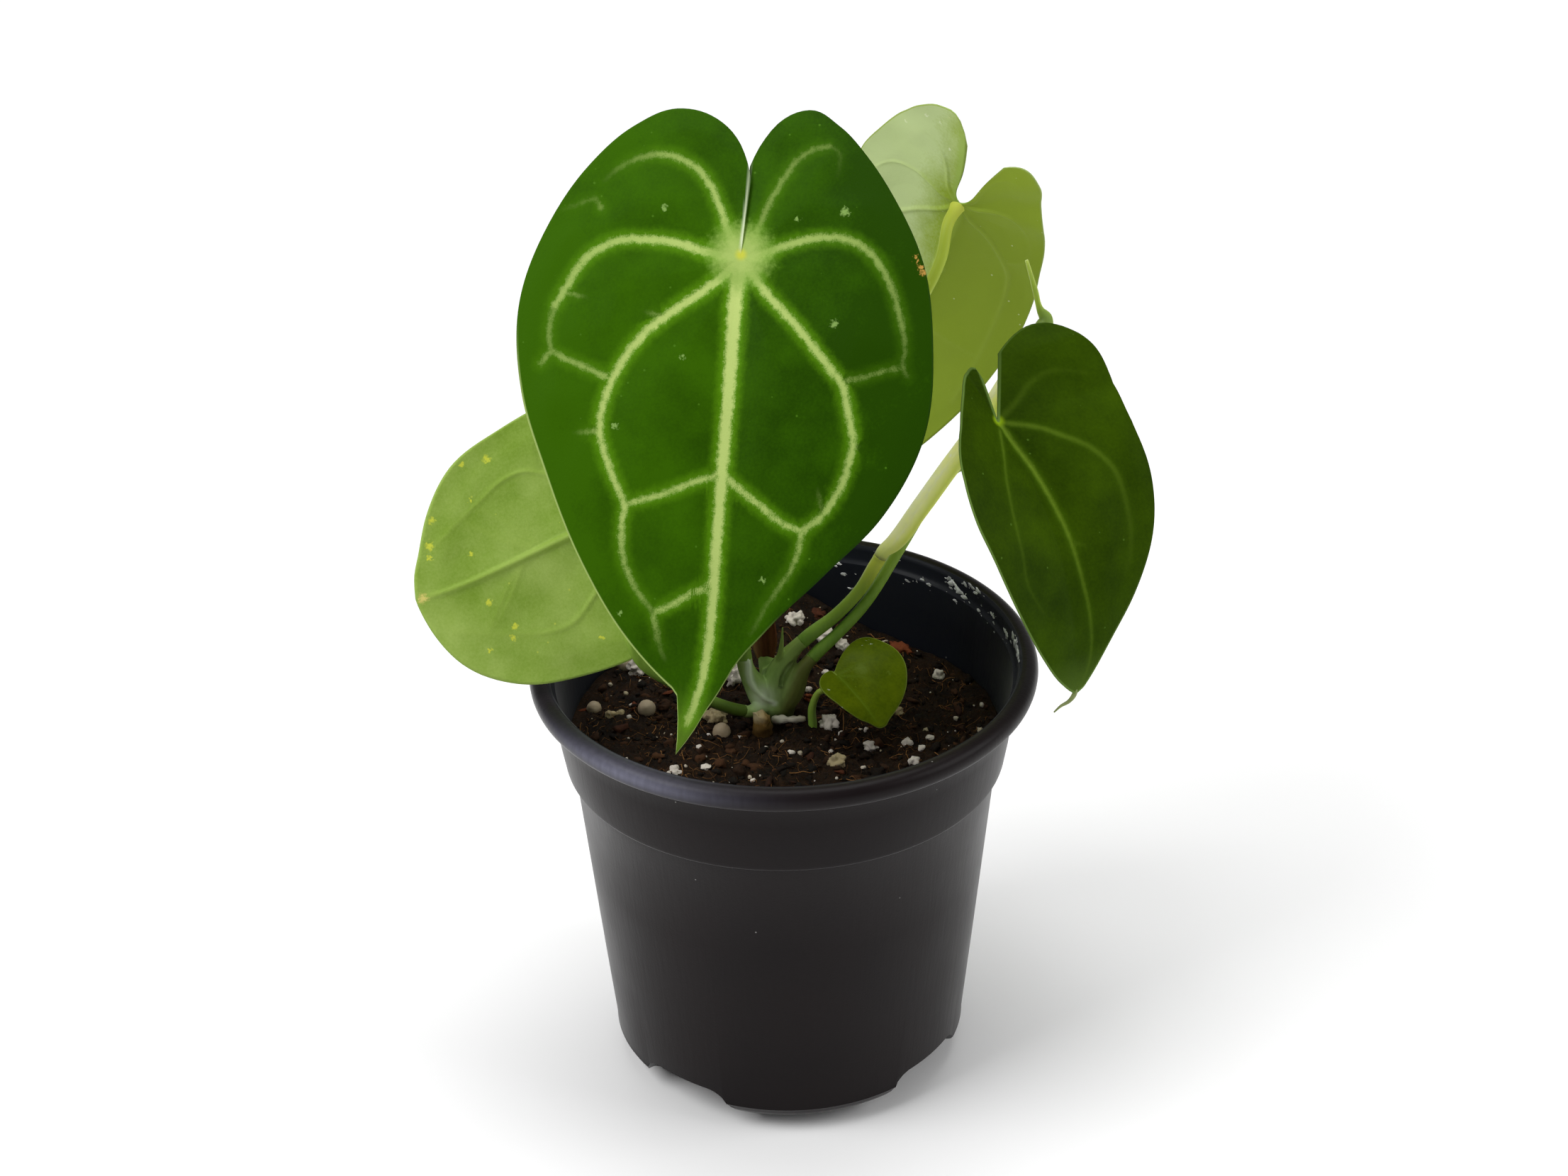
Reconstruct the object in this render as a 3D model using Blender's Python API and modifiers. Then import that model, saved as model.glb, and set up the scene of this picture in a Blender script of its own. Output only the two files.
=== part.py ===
"""Potted velvet-leaf anthurium: a black nursery pot, its soil and one young crown with five leaves.

Metres, +Z up, the front of the plant looks along -Y, origin at the middle of the pot's base.
"""
import bpy
import bmesh
import math
import random
from mathutils import Matrix, Vector, noise

MM = 0.001
GAP = 0.3

# Pot, all in millimetres
POT_STEPS = 48
RIM_RADIUS = 55.0
RIM_TOP = 99.5
MOUTH_RADIUS = 50.8
COLLAR_TOP_RADIUS = 50.4
COLLAR_LIP_RADIUS = 48.2
COLLAR_LIP_Z = 76.5
WALL_TOP_RADIUS = 46.4
WALL_TOP_Z = 75.5
WALL_FOOT_RADIUS = 39.3
FOOT_BAND_Z = 6.0
BASE_RADIUS = 32.0
WALL = 1.1
ALCOVE_HEIGHT = 9.4
ALCOVE_TOP_HALF = 9.3
ALCOVE_FOOT_HALF = 15.2
ALCOVE_INNER_RADIUS = 29.0
ALCOVE_TURN = 7.2
DRAIN_RADIUS = 3.0

# Soil
SOIL_LEVEL = 81.0
SOIL_SEED = 7

# Plant
CROWN_X = -2.0
CROWN_Y = 7.5
BLADE = 0.8
RIB_SINK = 0.45


def clear_scene():
    for item in list(bpy.data.objects):
        bpy.data.objects.remove(item, do_unlink=True)


clear_scene()
part_collection = bpy.data.collections.new("potted_anthurium")
bpy.context.scene.collection.children.link(part_collection)
cutter_collection = bpy.data.collections.new("cutters")
bpy.context.scene.collection.children.link(cutter_collection)


def material(name, colour, roughness, metallic=0.0):
    made = bpy.data.materials.new(name)
    made.use_nodes = True
    shader = made.node_tree.nodes["Principled BSDF"]
    shader.inputs["Base Color"].default_value = (*colour, 1.0)
    shader.inputs["Roughness"].default_value = roughness
    shader.inputs["Metallic"].default_value = metallic
    made.diffuse_color = (*colour, 1.0)
    return made


POT_BLACK = material("pot_black_plastic", (0.017, 0.017, 0.020), 0.38)
SOIL_BROWN = material("soil_dark_brown", (0.028, 0.015, 0.008), 0.95)
LEAF_DARK = material("leaf_dark_velvet", (0.020, 0.070, 0.004), 0.45)
LEAF_DEEP = material("leaf_deep_olive", (0.020, 0.045, 0.004), 0.45)
LEAF_PALE = material("leaf_pale_underside", (0.17, 0.29, 0.06), 0.5)
LEAF_OLIVE = material("leaf_olive_underside", (0.18, 0.27, 0.05), 0.5)
LEAF_YOUNG = material("leaf_young", (0.05, 0.08, 0.004), 0.35)
LEAF_NEW = material("leaf_new_yellow", (0.60, 0.72, 0.22), 0.45)
STALK_GREEN = material("stalk_green", (0.10, 0.22, 0.04), 0.45)
CROWN_GREEN = material("crown_grey_green", (0.13, 0.22, 0.08), 0.55)
SCALE_BROWN = material("scale_brown", (0.09, 0.045, 0.015), 0.8)
TWIG_PALE = material("twig_pale", (0.45, 0.42, 0.36), 0.85)


def place(thing, coll=part_collection, paint=None, smooth=True):
    coll.objects.link(thing)
    if paint:
        thing.data.materials.append(paint)
    if thing.type == "MESH":
        for face in thing.data.polygons:
            face.use_smooth = smooth
    return thing


def hide_cutter(thing):
    cutter_collection.objects.link(thing)
    thing.hide_render = True
    thing.display_type = "WIRE"
    return thing


def turned(name, profile, steps):
    """Turned body: a profile from the axis out and back to the axis, swept once round Z."""
    mesh = bpy.data.meshes.new(name)
    made = bmesh.new()
    points = [made.verts.new((r * MM, 0.0, z * MM)) for r, z in profile]
    for first, second in zip(points, points[1:]):
        made.edges.new((first, second))
    made.to_mesh(mesh)
    made.free()
    body = bpy.data.objects.new(name, mesh)
    screw = body.modifiers.new("turn", "SCREW")
    screw.axis = "Z"
    screw.steps = steps
    screw.render_steps = steps
    screw.use_merge_vertices = True
    screw.merge_threshold = 0.00001
    screw.use_smooth_shade = True
    return body


def boolean(body, cutter, operation, solver="EXACT"):
    step = body.modifiers.new(operation.lower() + "_" + cutter.name, "BOOLEAN")
    step.operation = operation
    step.object = cutter
    step.solver = solver
    return step


def smooth_path(points, per_span):
    """Smooth curve through rows of numbers, spaced by all but their last; short spans kept."""
    rows = [tuple(p) for p in points]
    spans = [max(math.dist(a[:-1], b[:-1]), 1e-6) for a, b in zip(rows, rows[1:])]
    slopes = [tuple((q - p) / h for p, q in zip(a, b)) for a, b, h in
              zip(rows, rows[1:], spans)]
    bends = [slopes[0]]
    for i in range(1, len(rows) - 1):
        h0, h1 = spans[i - 1], spans[i]
        bends.append(tuple((s0 * h1 + s1 * h0) / (h0 + h1)
                           for s0, s1 in zip(slopes[i - 1], slopes[i])))
    bends.append(slopes[-1])
    out = []
    for i, h in enumerate(spans):
        steps = per_span if h > 3.5 else 1
        for k in range(steps):
            t = k / steps
            a, b = 2 * t ** 3 - 3 * t ** 2 + 1, 3 * t ** 2 - 2 * t ** 3
            c, d = h * (t ** 3 - 2 * t ** 2 + t), h * (t ** 3 - t ** 2)
            out.append(tuple(a * p + b * q + c * m + d * n for p, q, m, n in
                             zip(rows[i], rows[i + 1], bends[i], bends[i + 1])))
    out.append(rows[-1])
    return out


def tube_mesh(name, stations, sides=2, per_span=3):
    """Closed tube through stations of (x, y, z, radius), as a mesh welded at its caps."""
    curve = bpy.data.curves.new(name + "_curve", "CURVE")
    curve.dimensions = "3D"
    curve.bevel_depth = MM
    curve.bevel_resolution = sides
    curve.use_fill_caps = True
    spline = curve.splines.new("POLY")
    path = smooth_path(stations, per_span)
    spline.points.add(len(path) - 1)
    for point, (x, y, z, radius) in zip(spline.points, path):
        point.co = (x * MM, y * MM, z * MM, 1.0)
        point.radius = radius
    guide = bpy.data.objects.new(name + "_guide", curve)
    bpy.context.scene.collection.objects.link(guide)
    bpy.context.view_layer.update()
    evaluated = guide.evaluated_get(bpy.context.evaluated_depsgraph_get())
    mesh = bpy.data.meshes.new_from_object(evaluated)
    mesh.name = name
    bpy.data.objects.remove(guide, do_unlink=True)
    welded = bmesh.new()
    welded.from_mesh(mesh)
    bmesh.ops.remove_doubles(welded, verts=welded.verts, dist=0.00001)
    bmesh.ops.recalc_face_normals(welded, faces=welded.faces)
    welded.to_mesh(mesh)
    welded.free()
    return mesh


# Pot: thin moulded shell with a rolled rim, a collar with a sharp lower lip, a tapered wall
# and four feet between the alcoves of its base
outer_profile = [
    (0.0, RIM_TOP - 0.2), (MOUTH_RADIUS + 0.9, RIM_TOP - 0.2), (52.8, RIM_TOP), (54.1, 99.0),
    (54.8, 98.1), (RIM_RADIUS, 96.9), (54.7, 95.6), (53.8, 94.8), (52.3, 94.5),
    (COLLAR_TOP_RADIUS, 94.2), (49.1, 82.0), (COLLAR_LIP_RADIUS, COLLAR_LIP_Z),
    (COLLAR_LIP_RADIUS - 0.4, COLLAR_LIP_Z - 0.5), (WALL_TOP_RADIUS, WALL_TOP_Z),
    (WALL_FOOT_RADIUS, FOOT_BAND_Z), (38.3, 4.5), (36.2, 2.6), (34.2, 1.0),
    (BASE_RADIUS, 0.0), (0.0, 0.0),
]
inner_profile = [
    (0.0, 109.0), (MOUTH_RADIUS + 1.8, 109.0), (MOUTH_RADIUS + 1.8, 107.0),
    (MOUTH_RADIUS + 0.5, RIM_TOP - 0.5), (MOUTH_RADIUS, 98.4), (50.5, 96.2), (49.5, 95.3),
    (48.0, 82.0), (47.1, 77.4), (WALL_TOP_RADIUS - WALL, WALL_TOP_Z + 1.2),
    (WALL_FOOT_RADIUS - WALL - 0.1, FOOT_BAND_Z + 0.8), (35.3, 3.5), (33.3, 1.9), (31.6, 1.4),
    (0.0, 1.4),
]
drain_radius_at = 33.5


def wedge(made, inner, foot_half, top_half, height, fall, rounding):
    """Block for an alcove: narrower and lower toward its inner end, its long edges rounded."""
    block = bmesh.ops.create_cube(made, size=1.0)["verts"]
    spread = (foot_half - top_half) / max(height, 0.1)
    for corner in block:
        top = corner.co.z > 0
        out = corner.co.x > 0
        wide = top_half if top else foot_half + 3.0 * spread
        slope = fall / (WALL_FOOT_RADIUS - inner)
        radius = 60.0 if out else inner + (2.4 if top else 0.0)
        rise = height + slope * (radius - WALL_FOOT_RADIUS) if top else -3.0
        corner.co = (radius * MM, math.copysign(wide, corner.co.y) * MM, rise * MM)
    long_edges = {e for v in block for e in v.link_edges
                  if all(w.co.z > 0 for w in e.verts) or abs(e.verts[0].co.x - inner * MM) < 0.003}
    if rounding:
        bmesh.ops.bevel(made, geom=list(long_edges), offset=rounding * MM, segments=2,
                        profile=0.5, affect="EDGES")


def ring_of_four(name, one, start):
    ring = bmesh.new()
    for quarter in range(4):
        turned_copy = one.copy()
        turned_copy.transform(Matrix.Rotation(math.radians(start + 90 * quarter), 4, "Z"))
        ring.from_mesh(turned_copy)
        bpy.data.meshes.remove(turned_copy)
    mesh = bpy.data.meshes.new(name)
    ring.to_mesh(mesh)
    ring.free()
    bpy.data.meshes.remove(one)
    return hide_cutter(bpy.data.objects.new(name, mesh))


def alcove_ring(name, grow):
    """Four alcoves under the edge of the base, set between the feet."""
    made = bmesh.new()
    wedge(made, ALCOVE_INNER_RADIUS - grow, ALCOVE_FOOT_HALF + grow, ALCOVE_TOP_HALF + grow,
          ALCOVE_HEIGHT + grow, 1.9, 2.5)
    one = bpy.data.meshes.new("alcove")
    made.to_mesh(one)
    made.free()
    return ring_of_four(name, one, ALCOVE_TURN - 45)


def foot_notch_ring(name):
    """Shallow rise in the middle of each foot's edge."""
    made = bmesh.new()
    wedge(made, 30.5, 5.8, 3.8, 4.1, 4.22, 0.0)
    one = bpy.data.meshes.new("notch")
    made.to_mesh(one)
    made.free()
    return ring_of_four(name, one, ALCOVE_TURN + 3.8)


pot = place(turned("pot", outer_profile, POT_STEPS), paint=POT_BLACK)
cavity = hide_cutter(turned("pot_cavity", inner_profile, POT_STEPS))
boolean(pot, alcove_ring("alcoves_outside", 0.0), "DIFFERENCE")
boolean(pot, foot_notch_ring("foot_notches"), "DIFFERENCE")
boolean(cavity, alcove_ring("alcoves_inside", WALL), "DIFFERENCE")
boolean(pot, cavity, "DIFFERENCE")

drains = bmesh.new()
for quarter in range(4):
    angle = math.radians(ALCOVE_TURN - 45 + 90 * quarter)
    bmesh.ops.create_cone(
        drains, cap_ends=True, segments=12, radius1=DRAIN_RADIUS * MM, radius2=DRAIN_RADIUS * MM,
        depth=16 * MM, matrix=Matrix.Translation((drain_radius_at * math.cos(angle) * MM,
                                                  drain_radius_at * math.sin(angle) * MM,
                                                  4 * MM)))
drain_mesh = bpy.data.meshes.new("drain_holes")
drains.to_mesh(drain_mesh)
drains.free()
boolean(pot, hide_cutter(bpy.data.objects.new("drain_holes", drain_mesh)), "DIFFERENCE")


# Blades: each leaf is a heart drawn in polar steps round the point where its stalk joins it
OUTLINE_ANGLES = (0, 2, 5, 10, 20, 34, 50, 70, 92, 114, 134, 150, 162, 172, 178)


class Leaf:
    """Heart-shaped blade: junction, direction to the tip, upper side, outline and relief."""

    def __init__(self, join, tip_way, face, left, right, length, bow, fold, cup, lobe=0.0,
                 rays=18, rings=7, wave=0.0, waves=5.0, one_side=0.0,
                 rib=0.0, span=(178.0, 178.0), drift=0.0):
        self.join = Vector(join)
        self.normal = Vector(face).normalized()
        way = Vector(tip_way)
        self.way = (way - way.dot(self.normal) * self.normal).normalized()
        self.side = self.normal.cross(self.way)
        self.left = left
        self.right = right
        self.length = length
        self.bow = bow
        self.fold = fold
        self.cup = cup
        self.lobe = lobe
        self.rays = rays
        self.rings = rings
        self.wave = wave
        self.waves = waves
        self.one_side = one_side
        self.rib = rib
        self.span = span
        self.drift = drift
        self.knob = RIB_SINK + 2 * rib + 0.1 if rib else BLADE + 0.38

    def reach(self, degrees):
        """Distance from the junction to the edge at an angle from the tip."""
        radii = self.right if degrees >= 0 else self.left
        table = smooth_path(list(zip(OUTLINE_ANGLES, radii)), 6)
        a = min(abs(degrees), OUTLINE_ANGLES[-1])
        for (a0, r0), (a1, r1) in zip(table, table[1:]):
            if a <= a1:
                return r0 + (r1 - r0) * (a - a0) / max(a1 - a0, 1e-6)
        return table[-1][1]

    def height(self, u, v, edge=0.0):
        """Rise of the upper face above the leaf's plane."""
        fade = min(1.0, max(0.15, 1.15 - 1.1 * max(u, 0.0) / self.length))
        fold = self.fold * fade + self.lobe * min(1.0, max(0.0, -u / (0.2 * self.length)))
        rise = self.bow * 4 * u * (self.length - u) / self.length ** 2
        rise += fold * abs(v) - self.cup * v * v
        if v < 0:
            rise -= self.one_side * abs(v)
        rise += self.wave * edge ** 3 * math.sin(self.waves * math.atan2(v, u) + 0.7)
        return rise

    def square(self):
        """Direction square to the upper face where the stalk joins."""
        return (self.normal - 4.0 * self.bow / self.length * self.way).normalized()

    def point(self, degrees, share, depth=0.0):
        """Point on the blade, a share of the way out to the edge, below the upper face."""
        radius = self.reach(degrees) * share
        a = math.radians(degrees)
        u, v = radius * math.cos(a), radius * math.sin(a)
        rise = self.height(u, v, share)
        v += self.drift * max(0.0, (u / self.length - 0.86) / 0.14) ** 2
        return self.join + u * self.way + v * self.side + (rise - depth) * self.normal

    def mesh(self, name):
        made = bmesh.new()
        bmesh.ops.create_grid(made, x_segments=2 * self.rays, y_segments=self.rings, size=1.0)
        for vert in made.verts:
            s = vert.co.x
            share = 0.5 * (vert.co.y + 1.0)
            span = self.span[1 if s > 0 else 0]
            degrees = math.copysign(span * (0.1 * abs(s) + 0.9 * abs(s) ** 1.5), s)
            vert.co = self.point(degrees, share ** 0.85) * MM
        bmesh.ops.remove_doubles(made, verts=made.verts, dist=0.00001)
        bmesh.ops.recalc_face_normals(made, faces=made.faces)
        some = max(made.faces, key=lambda f: f.calc_area())
        if some.normal.dot(self.normal) < 0:
            bmesh.ops.reverse_faces(made, faces=made.faces)
        bmesh.ops.triangulate(made, faces=made.faces)
        mesh = bpy.data.meshes.new(name)
        made.to_mesh(mesh)
        made.free()
        return mesh


# Veins that stand proud of the underside, as (angle from the tip, share of the way out)
VEINS = (
    ((36, 0.10), (42, 0.45), (40, 0.66), (27, 0.72), (16, 0.74)),
    ((88, 0.12), (100, 0.45), (84, 0.72), (64, 0.82)),
)


def ribs(name, leaf):
    """Raised midrib, main side veins and the knob of the stalk's joint under a blade."""
    joined = bmesh.new()
    width = leaf.rib
    start = 1.5 / leaf.length
    routes = [([(0, start), (0, 0.25), (0, 0.5), (0, 0.72), (0, 0.88)], width, 2)]
    for vein in VEINS:
        for side in (-1, 1):
            routes.append(([(side * a, share) for a, share in vein], 0.62 * width, 1))
    for number, (route, thick, per_span) in enumerate(routes):
        stations = []
        for i, (degrees, share) in enumerate(route):
            radius = thick * (1.0 - 0.62 * i / (len(route) - 1))
            x, y, z = leaf.point(degrees, share, RIB_SINK + radius)
            stations.append((x, y, z, radius))
        tube = tube_mesh("%s_%d" % (name, number), stations, 1, per_span)
        joined.from_mesh(tube)
        bpy.data.meshes.remove(tube)
    below = leaf.square()
    knob = [(*(leaf.join - below * drop), radius)
            for drop, radius in ((0.4, 1.5 * width), (leaf.knob, 1.7 * width))]
    tube = tube_mesh(name + "_knob", knob, 1, 1)
    joined.from_mesh(tube)
    bpy.data.meshes.remove(tube)
    mesh = bpy.data.meshes.new(name)
    joined.to_mesh(mesh)
    joined.free()
    return hide_cutter(bpy.data.objects.new(name, mesh))


def blade(name, leaf, paint):
    body = place(bpy.data.objects.new(name, leaf.mesh(name)), paint=paint)
    shell = body.modifiers.new("thickness", "SOLIDIFY")
    shell.thickness = BLADE * MM
    shell.offset = -1.0
    if leaf.rib:
        raised = boolean(body, ribs(name + "_ribs", leaf), "UNION")
        raised.use_self = True
    return body


front = Leaf(
    join=(-7.2, 4.0, 192.1), tip_way=(-13.0, -47.6, -90.1), face=(-0.04, -0.88, 0.47),
    left=(102.7, 89.9, 86.8, 81.5, 71.1, 60, 52.9, 46.4, 40, 36.5, 35, 33.5, 29.5, 23.6, 18.2),
    right=(102.7, 93, 84.6, 76.8, 67.9, 60.9, 53.3, 43.5, 37.4, 33.5, 32.7, 33.4, 33.3, 28.2,
           22.5),
    length=103, bow=7.0, fold=0.10, cup=0.0026, rays=21, rings=7, rib=1.1, drift=-2.3)
back = Leaf(
    join=(40.0, 50.0, 183.0), tip_way=(-0.223, 0.315, -0.92), face=(0.42, 0.86, 0.22),
    left=(89.6, 86, 79.5, 69.4, 53.5, 38.3, 27.7, 21.6, 18.6, 18.5, 20.8, 21.5, 15, 10, 8),
    right=(89.6, 86.4, 82.2, 74.2, 61.6, 48.3, 37, 28.1, 23.9, 22.8, 24.2, 26.8, 28.6, 28.5, 21),
    length=78, bow=5.0, fold=0.25, cup=0.004, lobe=0.1, rays=17, rings=6, wave=0.5, waves=9.0,
    rib=0.85, span=(156.0, 177.5))
left_leaf = Leaf(
    join=(-30.1, 0.5, 136.2), tip_way=(-0.928, -0.246, -0.286), face=(-0.10, 0.88, -0.42),
    left=(50.5, 50.6, 50.6, 50.5, 49.5, 45.1, 37.9, 31.5, 27, 24.5, 22.5, 20.5, 18, 14, 10),
    right=(50.5, 50, 49.2, 47.2, 44.4, 40.3, 33.7, 29, 26, 24, 22, 20, 17.5, 14, 10),
    length=50, bow=5.0, fold=0.15, cup=0.004, rays=15, rings=5, rib=0.8)
right_leaf = Leaf(
    join=(45.6, 3.0, 153.8), tip_way=(0.266, -0.374, -0.909), face=(0.52, -0.72, 0.46),
    left=(60.9, 59.5, 56.9, 51.5, 41.8, 32.3, 26.2, 19.6, 13.1, 10.3, 9.4, 9.2, 9.5, 10.2, 11.6),
    right=(60.9, 59.8, 57, 52.7, 46.6, 39.9, 32.8, 26.6, 25.6, 26.4, 23.3, 16, 9, 6, 5),
    length=60, bow=8.0, fold=0.40, cup=0.004, lobe=0.2, rays=18, rings=6, rib=0.75,
    span=(189.0, 149.0))
small_leaf = Leaf(
    join=(11.4, -2.0, 95.4), tip_way=(0.615, -0.635, -0.52), face=(0.12, -0.55, 0.82),
    left=(15.2, 14.4, 13.2, 11.6, 8.5, 6.4, 5.3, 4.8, 4.2, 3.5, 2.9, 2.5, 2.3, 2.1, 2.0),
    right=(15.2, 15.1, 15, 14.7, 14.9, 15.1, 15.3, 14.8, 13, 10.2, 5.5, 3.0, 2.4, 2.1, 2.0),
    length=15, bow=1.0, fold=0.1, cup=0.01, rays=12, rings=4, one_side=0.45)

blade("blade_front", front, LEAF_DARK)
blade("blade_back", back, LEAF_OLIVE)
blade("blade_left", left_leaf, LEAF_PALE)
blade_right = blade("blade_right", right_leaf, LEAF_DEEP)
blade("blade_small", small_leaf, LEAF_YOUNG)

# The dark leaf's drip tip: a thin point that twists away to one side
drip_root = right_leaf.point(0, 0.955, 0.4)
drip_end = right_leaf.point(0, 1.0, 0.4)
drip_path = [(*drip_root, 0.7), (*drip_end, 0.6),
             (*(drip_end + Vector((-1.2, -0.1, -2.0))), 0.45),
             (*(drip_end + Vector((-4.3, -0.2, -4.6))), 0.3)]
boolean(blade_right, hide_cutter(bpy.data.objects.new(
    "drip_tip", tube_mesh("drip_tip", drip_path, 1, 2))), "UNION")


# Stalks: each grows out of a clasping sheath on the crown and meets its blade square on
def parted(stations, at, stretch=1.6, opening=0.36):
    """Split a stalk's path at a station: two runs in line, with a small opening between."""
    ahead = (Vector(stations[at + 1][:3]) - Vector(stations[at - 1][:3])).normalized()
    spot, radius = Vector(stations[at][:3]), stations[at][3]
    lower = stations[:at] + [(*(spot - stretch * ahead), radius),
                             (*(spot - 0.5 * opening * ahead), radius)]
    upper = [(*(spot + 0.5 * opening * ahead), radius),
             (*(spot + stretch * ahead), radius)] + stations[at + 1:]
    return lower, upper


def stalk(name, leaf, stations):
    square = leaf.square()
    end = leaf.join - square * (leaf.knob + GAP)
    near = leaf.join - square * (leaf.knob + GAP + 3.0)
    radius = stations[-1][3]
    rows = list(stations) + [(*near, radius * 1.05), (*end, radius * 1.1)]
    return place(bpy.data.objects.new(name, tube_mesh(name, rows, 1, 3)), paint=STALK_GREEN)


sheath_front, stalk_front = parted([
    (-3.0, 7.0, 81.6, 3.4), (-5.4, 5.8, 87.0, 3.0), (-7.7, 4.9, 91.9, 2.0),
    (-8.6, 4.8, 96.0, 1.8), (-10.2, 6.0, 112.0, 1.55), (-10.4, 9.5, 138.0, 1.45),
    (-9.2, 14.5, 166.0, 1.4), (-7.9, 15.5, 182.0, 1.4)], 3)
sheath_new, stalk_new = parted([
    (-1.6, 7.0, 82.5, 3.6), (-1.2, 6.6, 90.0, 3.1), (0.9, 6.7, 94.8, 2.2),
    (4.2, 7.3, 98.4, 1.62), (11.4, 9.2, 103.6, 1.45), (17.0, 10.6, 109.4, 1.4),
    (20.6, 11.7, 115.3, 1.5), (21.3, 11.9, 116.6, 1.5), (21.9, 12.0, 117.9, 1.5)], 3)
sheath_right, stalk_right = parted([
    (-0.5, 7.0, 83.0, 3.1), (2.0, 5.6, 87.8, 2.8), (3.8, 5.3, 91.8, 1.9),
    (6.3, 5.7, 95.2, 1.5), (11.3, 7.5, 99.5, 1.35), (17.1, 10.0, 104.9, 1.3),
    (26.2, 16.3, 117.0, 1.25), (32.6, 20.2, 126.4, 1.2), (37.2, 20.8, 132.6, 1.15),
    (43.2, 15.6, 138.5, 1.1), (44.8, 10.0, 144.0, 1.1)], 3)
sheath_back, stalk_back = parted([
    (-1.8, 9.0, 84.0, 3.0), (-3.6, 11.2, 91.0, 2.0), (-4.3, 12.9, 97.4, 1.5),
    (-3.9, 14.0, 101.5, 1.45), (0.8, 17.9, 115.0, 1.4), (8.6, 22.2, 128.0, 1.35),
    (18.6, 29.0, 145.0, 1.3), (28.0, 35.5, 161.0, 1.25), (35.6, 41.5, 174.0, 1.25)], 3)
sheath_left, stalk_left = parted([
    (-3.4, 5.6, 83.2, 2.1), (-5.8, 3.5, 83.7, 1.7), (-9.0, 0.9, 84.8, 1.37),
    (-16.6, -5.0, 91.5, 1.3), (-24.0, -10.5, 99.5, 1.3), (-30.3, -14.8, 107.9, 1.3),
    (-32.4, -15.6, 116.0, 1.25), (-30.8, -11.0, 126.0, 1.2)], 2)

stalk("petiole_front", front, stalk_front)
stalk("petiole_back", back, stalk_back)
stalk("petiole_left", left_leaf, stalk_left)
stalk("petiole_right", right_leaf, stalk_right)
stalk("petiole_small", small_leaf, [
    (6.1, 0.2, 72.0, 1.0), (6.1, 0.2, 81.6, 0.95), (6.1, 0.3, 85.9, 0.85),
    (7.6, 0.6, 89.4, 0.75)])

rolled_from = len(stalk_new) - 2
stalk_new, roll_start = parted(stalk_new, rolled_from, 1.2)
place(bpy.data.objects.new("petiole_new", tube_mesh("petiole_new", stalk_new, 1, 3)),
      paint=STALK_GREEN)


# New leaf: a blade still rolled up on itself, fattest a third of the way, with a drip tip
NEW_PATH = tuple(roll_start[:2]) + (
    (24.3, 12.5, 119.8, 1.9), (29.6, 13.8, 127.0, 2.1), (35.4, 15.6, 135.0, 2.15),
    (41.6, 18.0, 143.1, 2.15), (47.3, 20.8, 151.4, 2.15), (52.8, 24.4, 158.8, 2.15),
    (56.8, 27.4, 163.6, 2.1), (57.1, 28.0, 165.4, 1.5), (56.1, 28.4, 167.0, 0.85),
    (54.9, 29.2, 171.4, 0.6), (53.0, 30.0, 178.0, 0.35))
ROLL_SIDES = 14
ROLL_STEP = 0.16
new_path = smooth_path(NEW_PATH, 2)
roll = bmesh.new()
bmesh.ops.create_grid(roll, x_segments=ROLL_SIDES, y_segments=len(new_path) - 1, size=1.0)
for vert in roll.verts:
    station = round(0.5 * (vert.co.y + 1.0) * (len(new_path) - 1))
    turn = 0.5 * (vert.co.x + 1.0)
    x, y, z, radius = new_path[station]
    before = Vector(new_path[max(station - 1, 0)][:3])
    after = Vector(new_path[min(station + 1, len(new_path) - 1)][:3])
    along = (after - before).normalized()
    across = along.cross(Vector((0, 1, 0))).normalized()
    toward = across.cross(along)
    angle = math.tau * turn * (1 - 0.02) - 1.1 + 0.035 * station
    spread = radius * (1.0 - 0.5 * ROLL_STEP + ROLL_STEP * turn)
    spot = Vector((x, y, z)) + spread * (math.cos(angle) * across + math.sin(angle) * toward)
    vert.co = spot * MM
roll.verts.ensure_lookup_table()
columns = ROLL_SIDES + 1
rows = len(new_path)
for row in range(rows - 1):
    a = roll.verts[row * columns]
    b = roll.verts[(row + 1) * columns]
    c = roll.verts[(row + 1) * columns + ROLL_SIDES]
    d = roll.verts[row * columns + ROLL_SIDES]
    roll.faces.new((a, b, c, d))
roll.verts.ensure_lookup_table()
roll.faces.new([roll.verts[k] for k in range(columns)])
roll.faces.new([roll.verts[(rows - 1) * columns + k] for k in reversed(range(columns))])
bmesh.ops.recalc_face_normals(roll, faces=roll.faces)
bmesh.ops.triangulate(roll, faces=roll.faces)
roll_mesh = bpy.data.meshes.new("new_leaf")
roll.to_mesh(roll_mesh)
roll.free()
place(bpy.data.objects.new("new_leaf", roll_mesh), paint=LEAF_NEW)


# Crown: short stem with the stalks' clasping bases grown round it
crown = place(bpy.data.objects.new("crown", tube_mesh("crown", [
    (CROWN_X, CROWN_Y, 67.0, 4.3), (CROWN_X, CROWN_Y, 76.0, 4.4),
    (CROWN_X, CROWN_Y, 84.5, 4.3), (CROWN_X + 0.2, CROWN_Y + 0.4, 90.5, 3.0)], 3, 2)),
    paint=CROWN_GREEN)
SHEATHS = {
    "sheath_front": sheath_front, "sheath_new": sheath_new, "sheath_right": sheath_right,
    "sheath_back": sheath_back, "sheath_left": sheath_left,
    "scale_green": [(-0.9, 6.2, 92.4, 1.3), (-0.7, 5.5, 96.2, 0.8), (-0.3, 5.4, 99.6, 0.5),
                    (-0.1, 5.6, 103.0, 0.3)],
}
for sheath_name, stations in SHEATHS.items():
    sheath = hide_cutter(bpy.data.objects.new(
        sheath_name, tube_mesh(sheath_name, stations, 2, 2)))
    boolean(crown, sheath, "UNION", "MANIFOLD")


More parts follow.
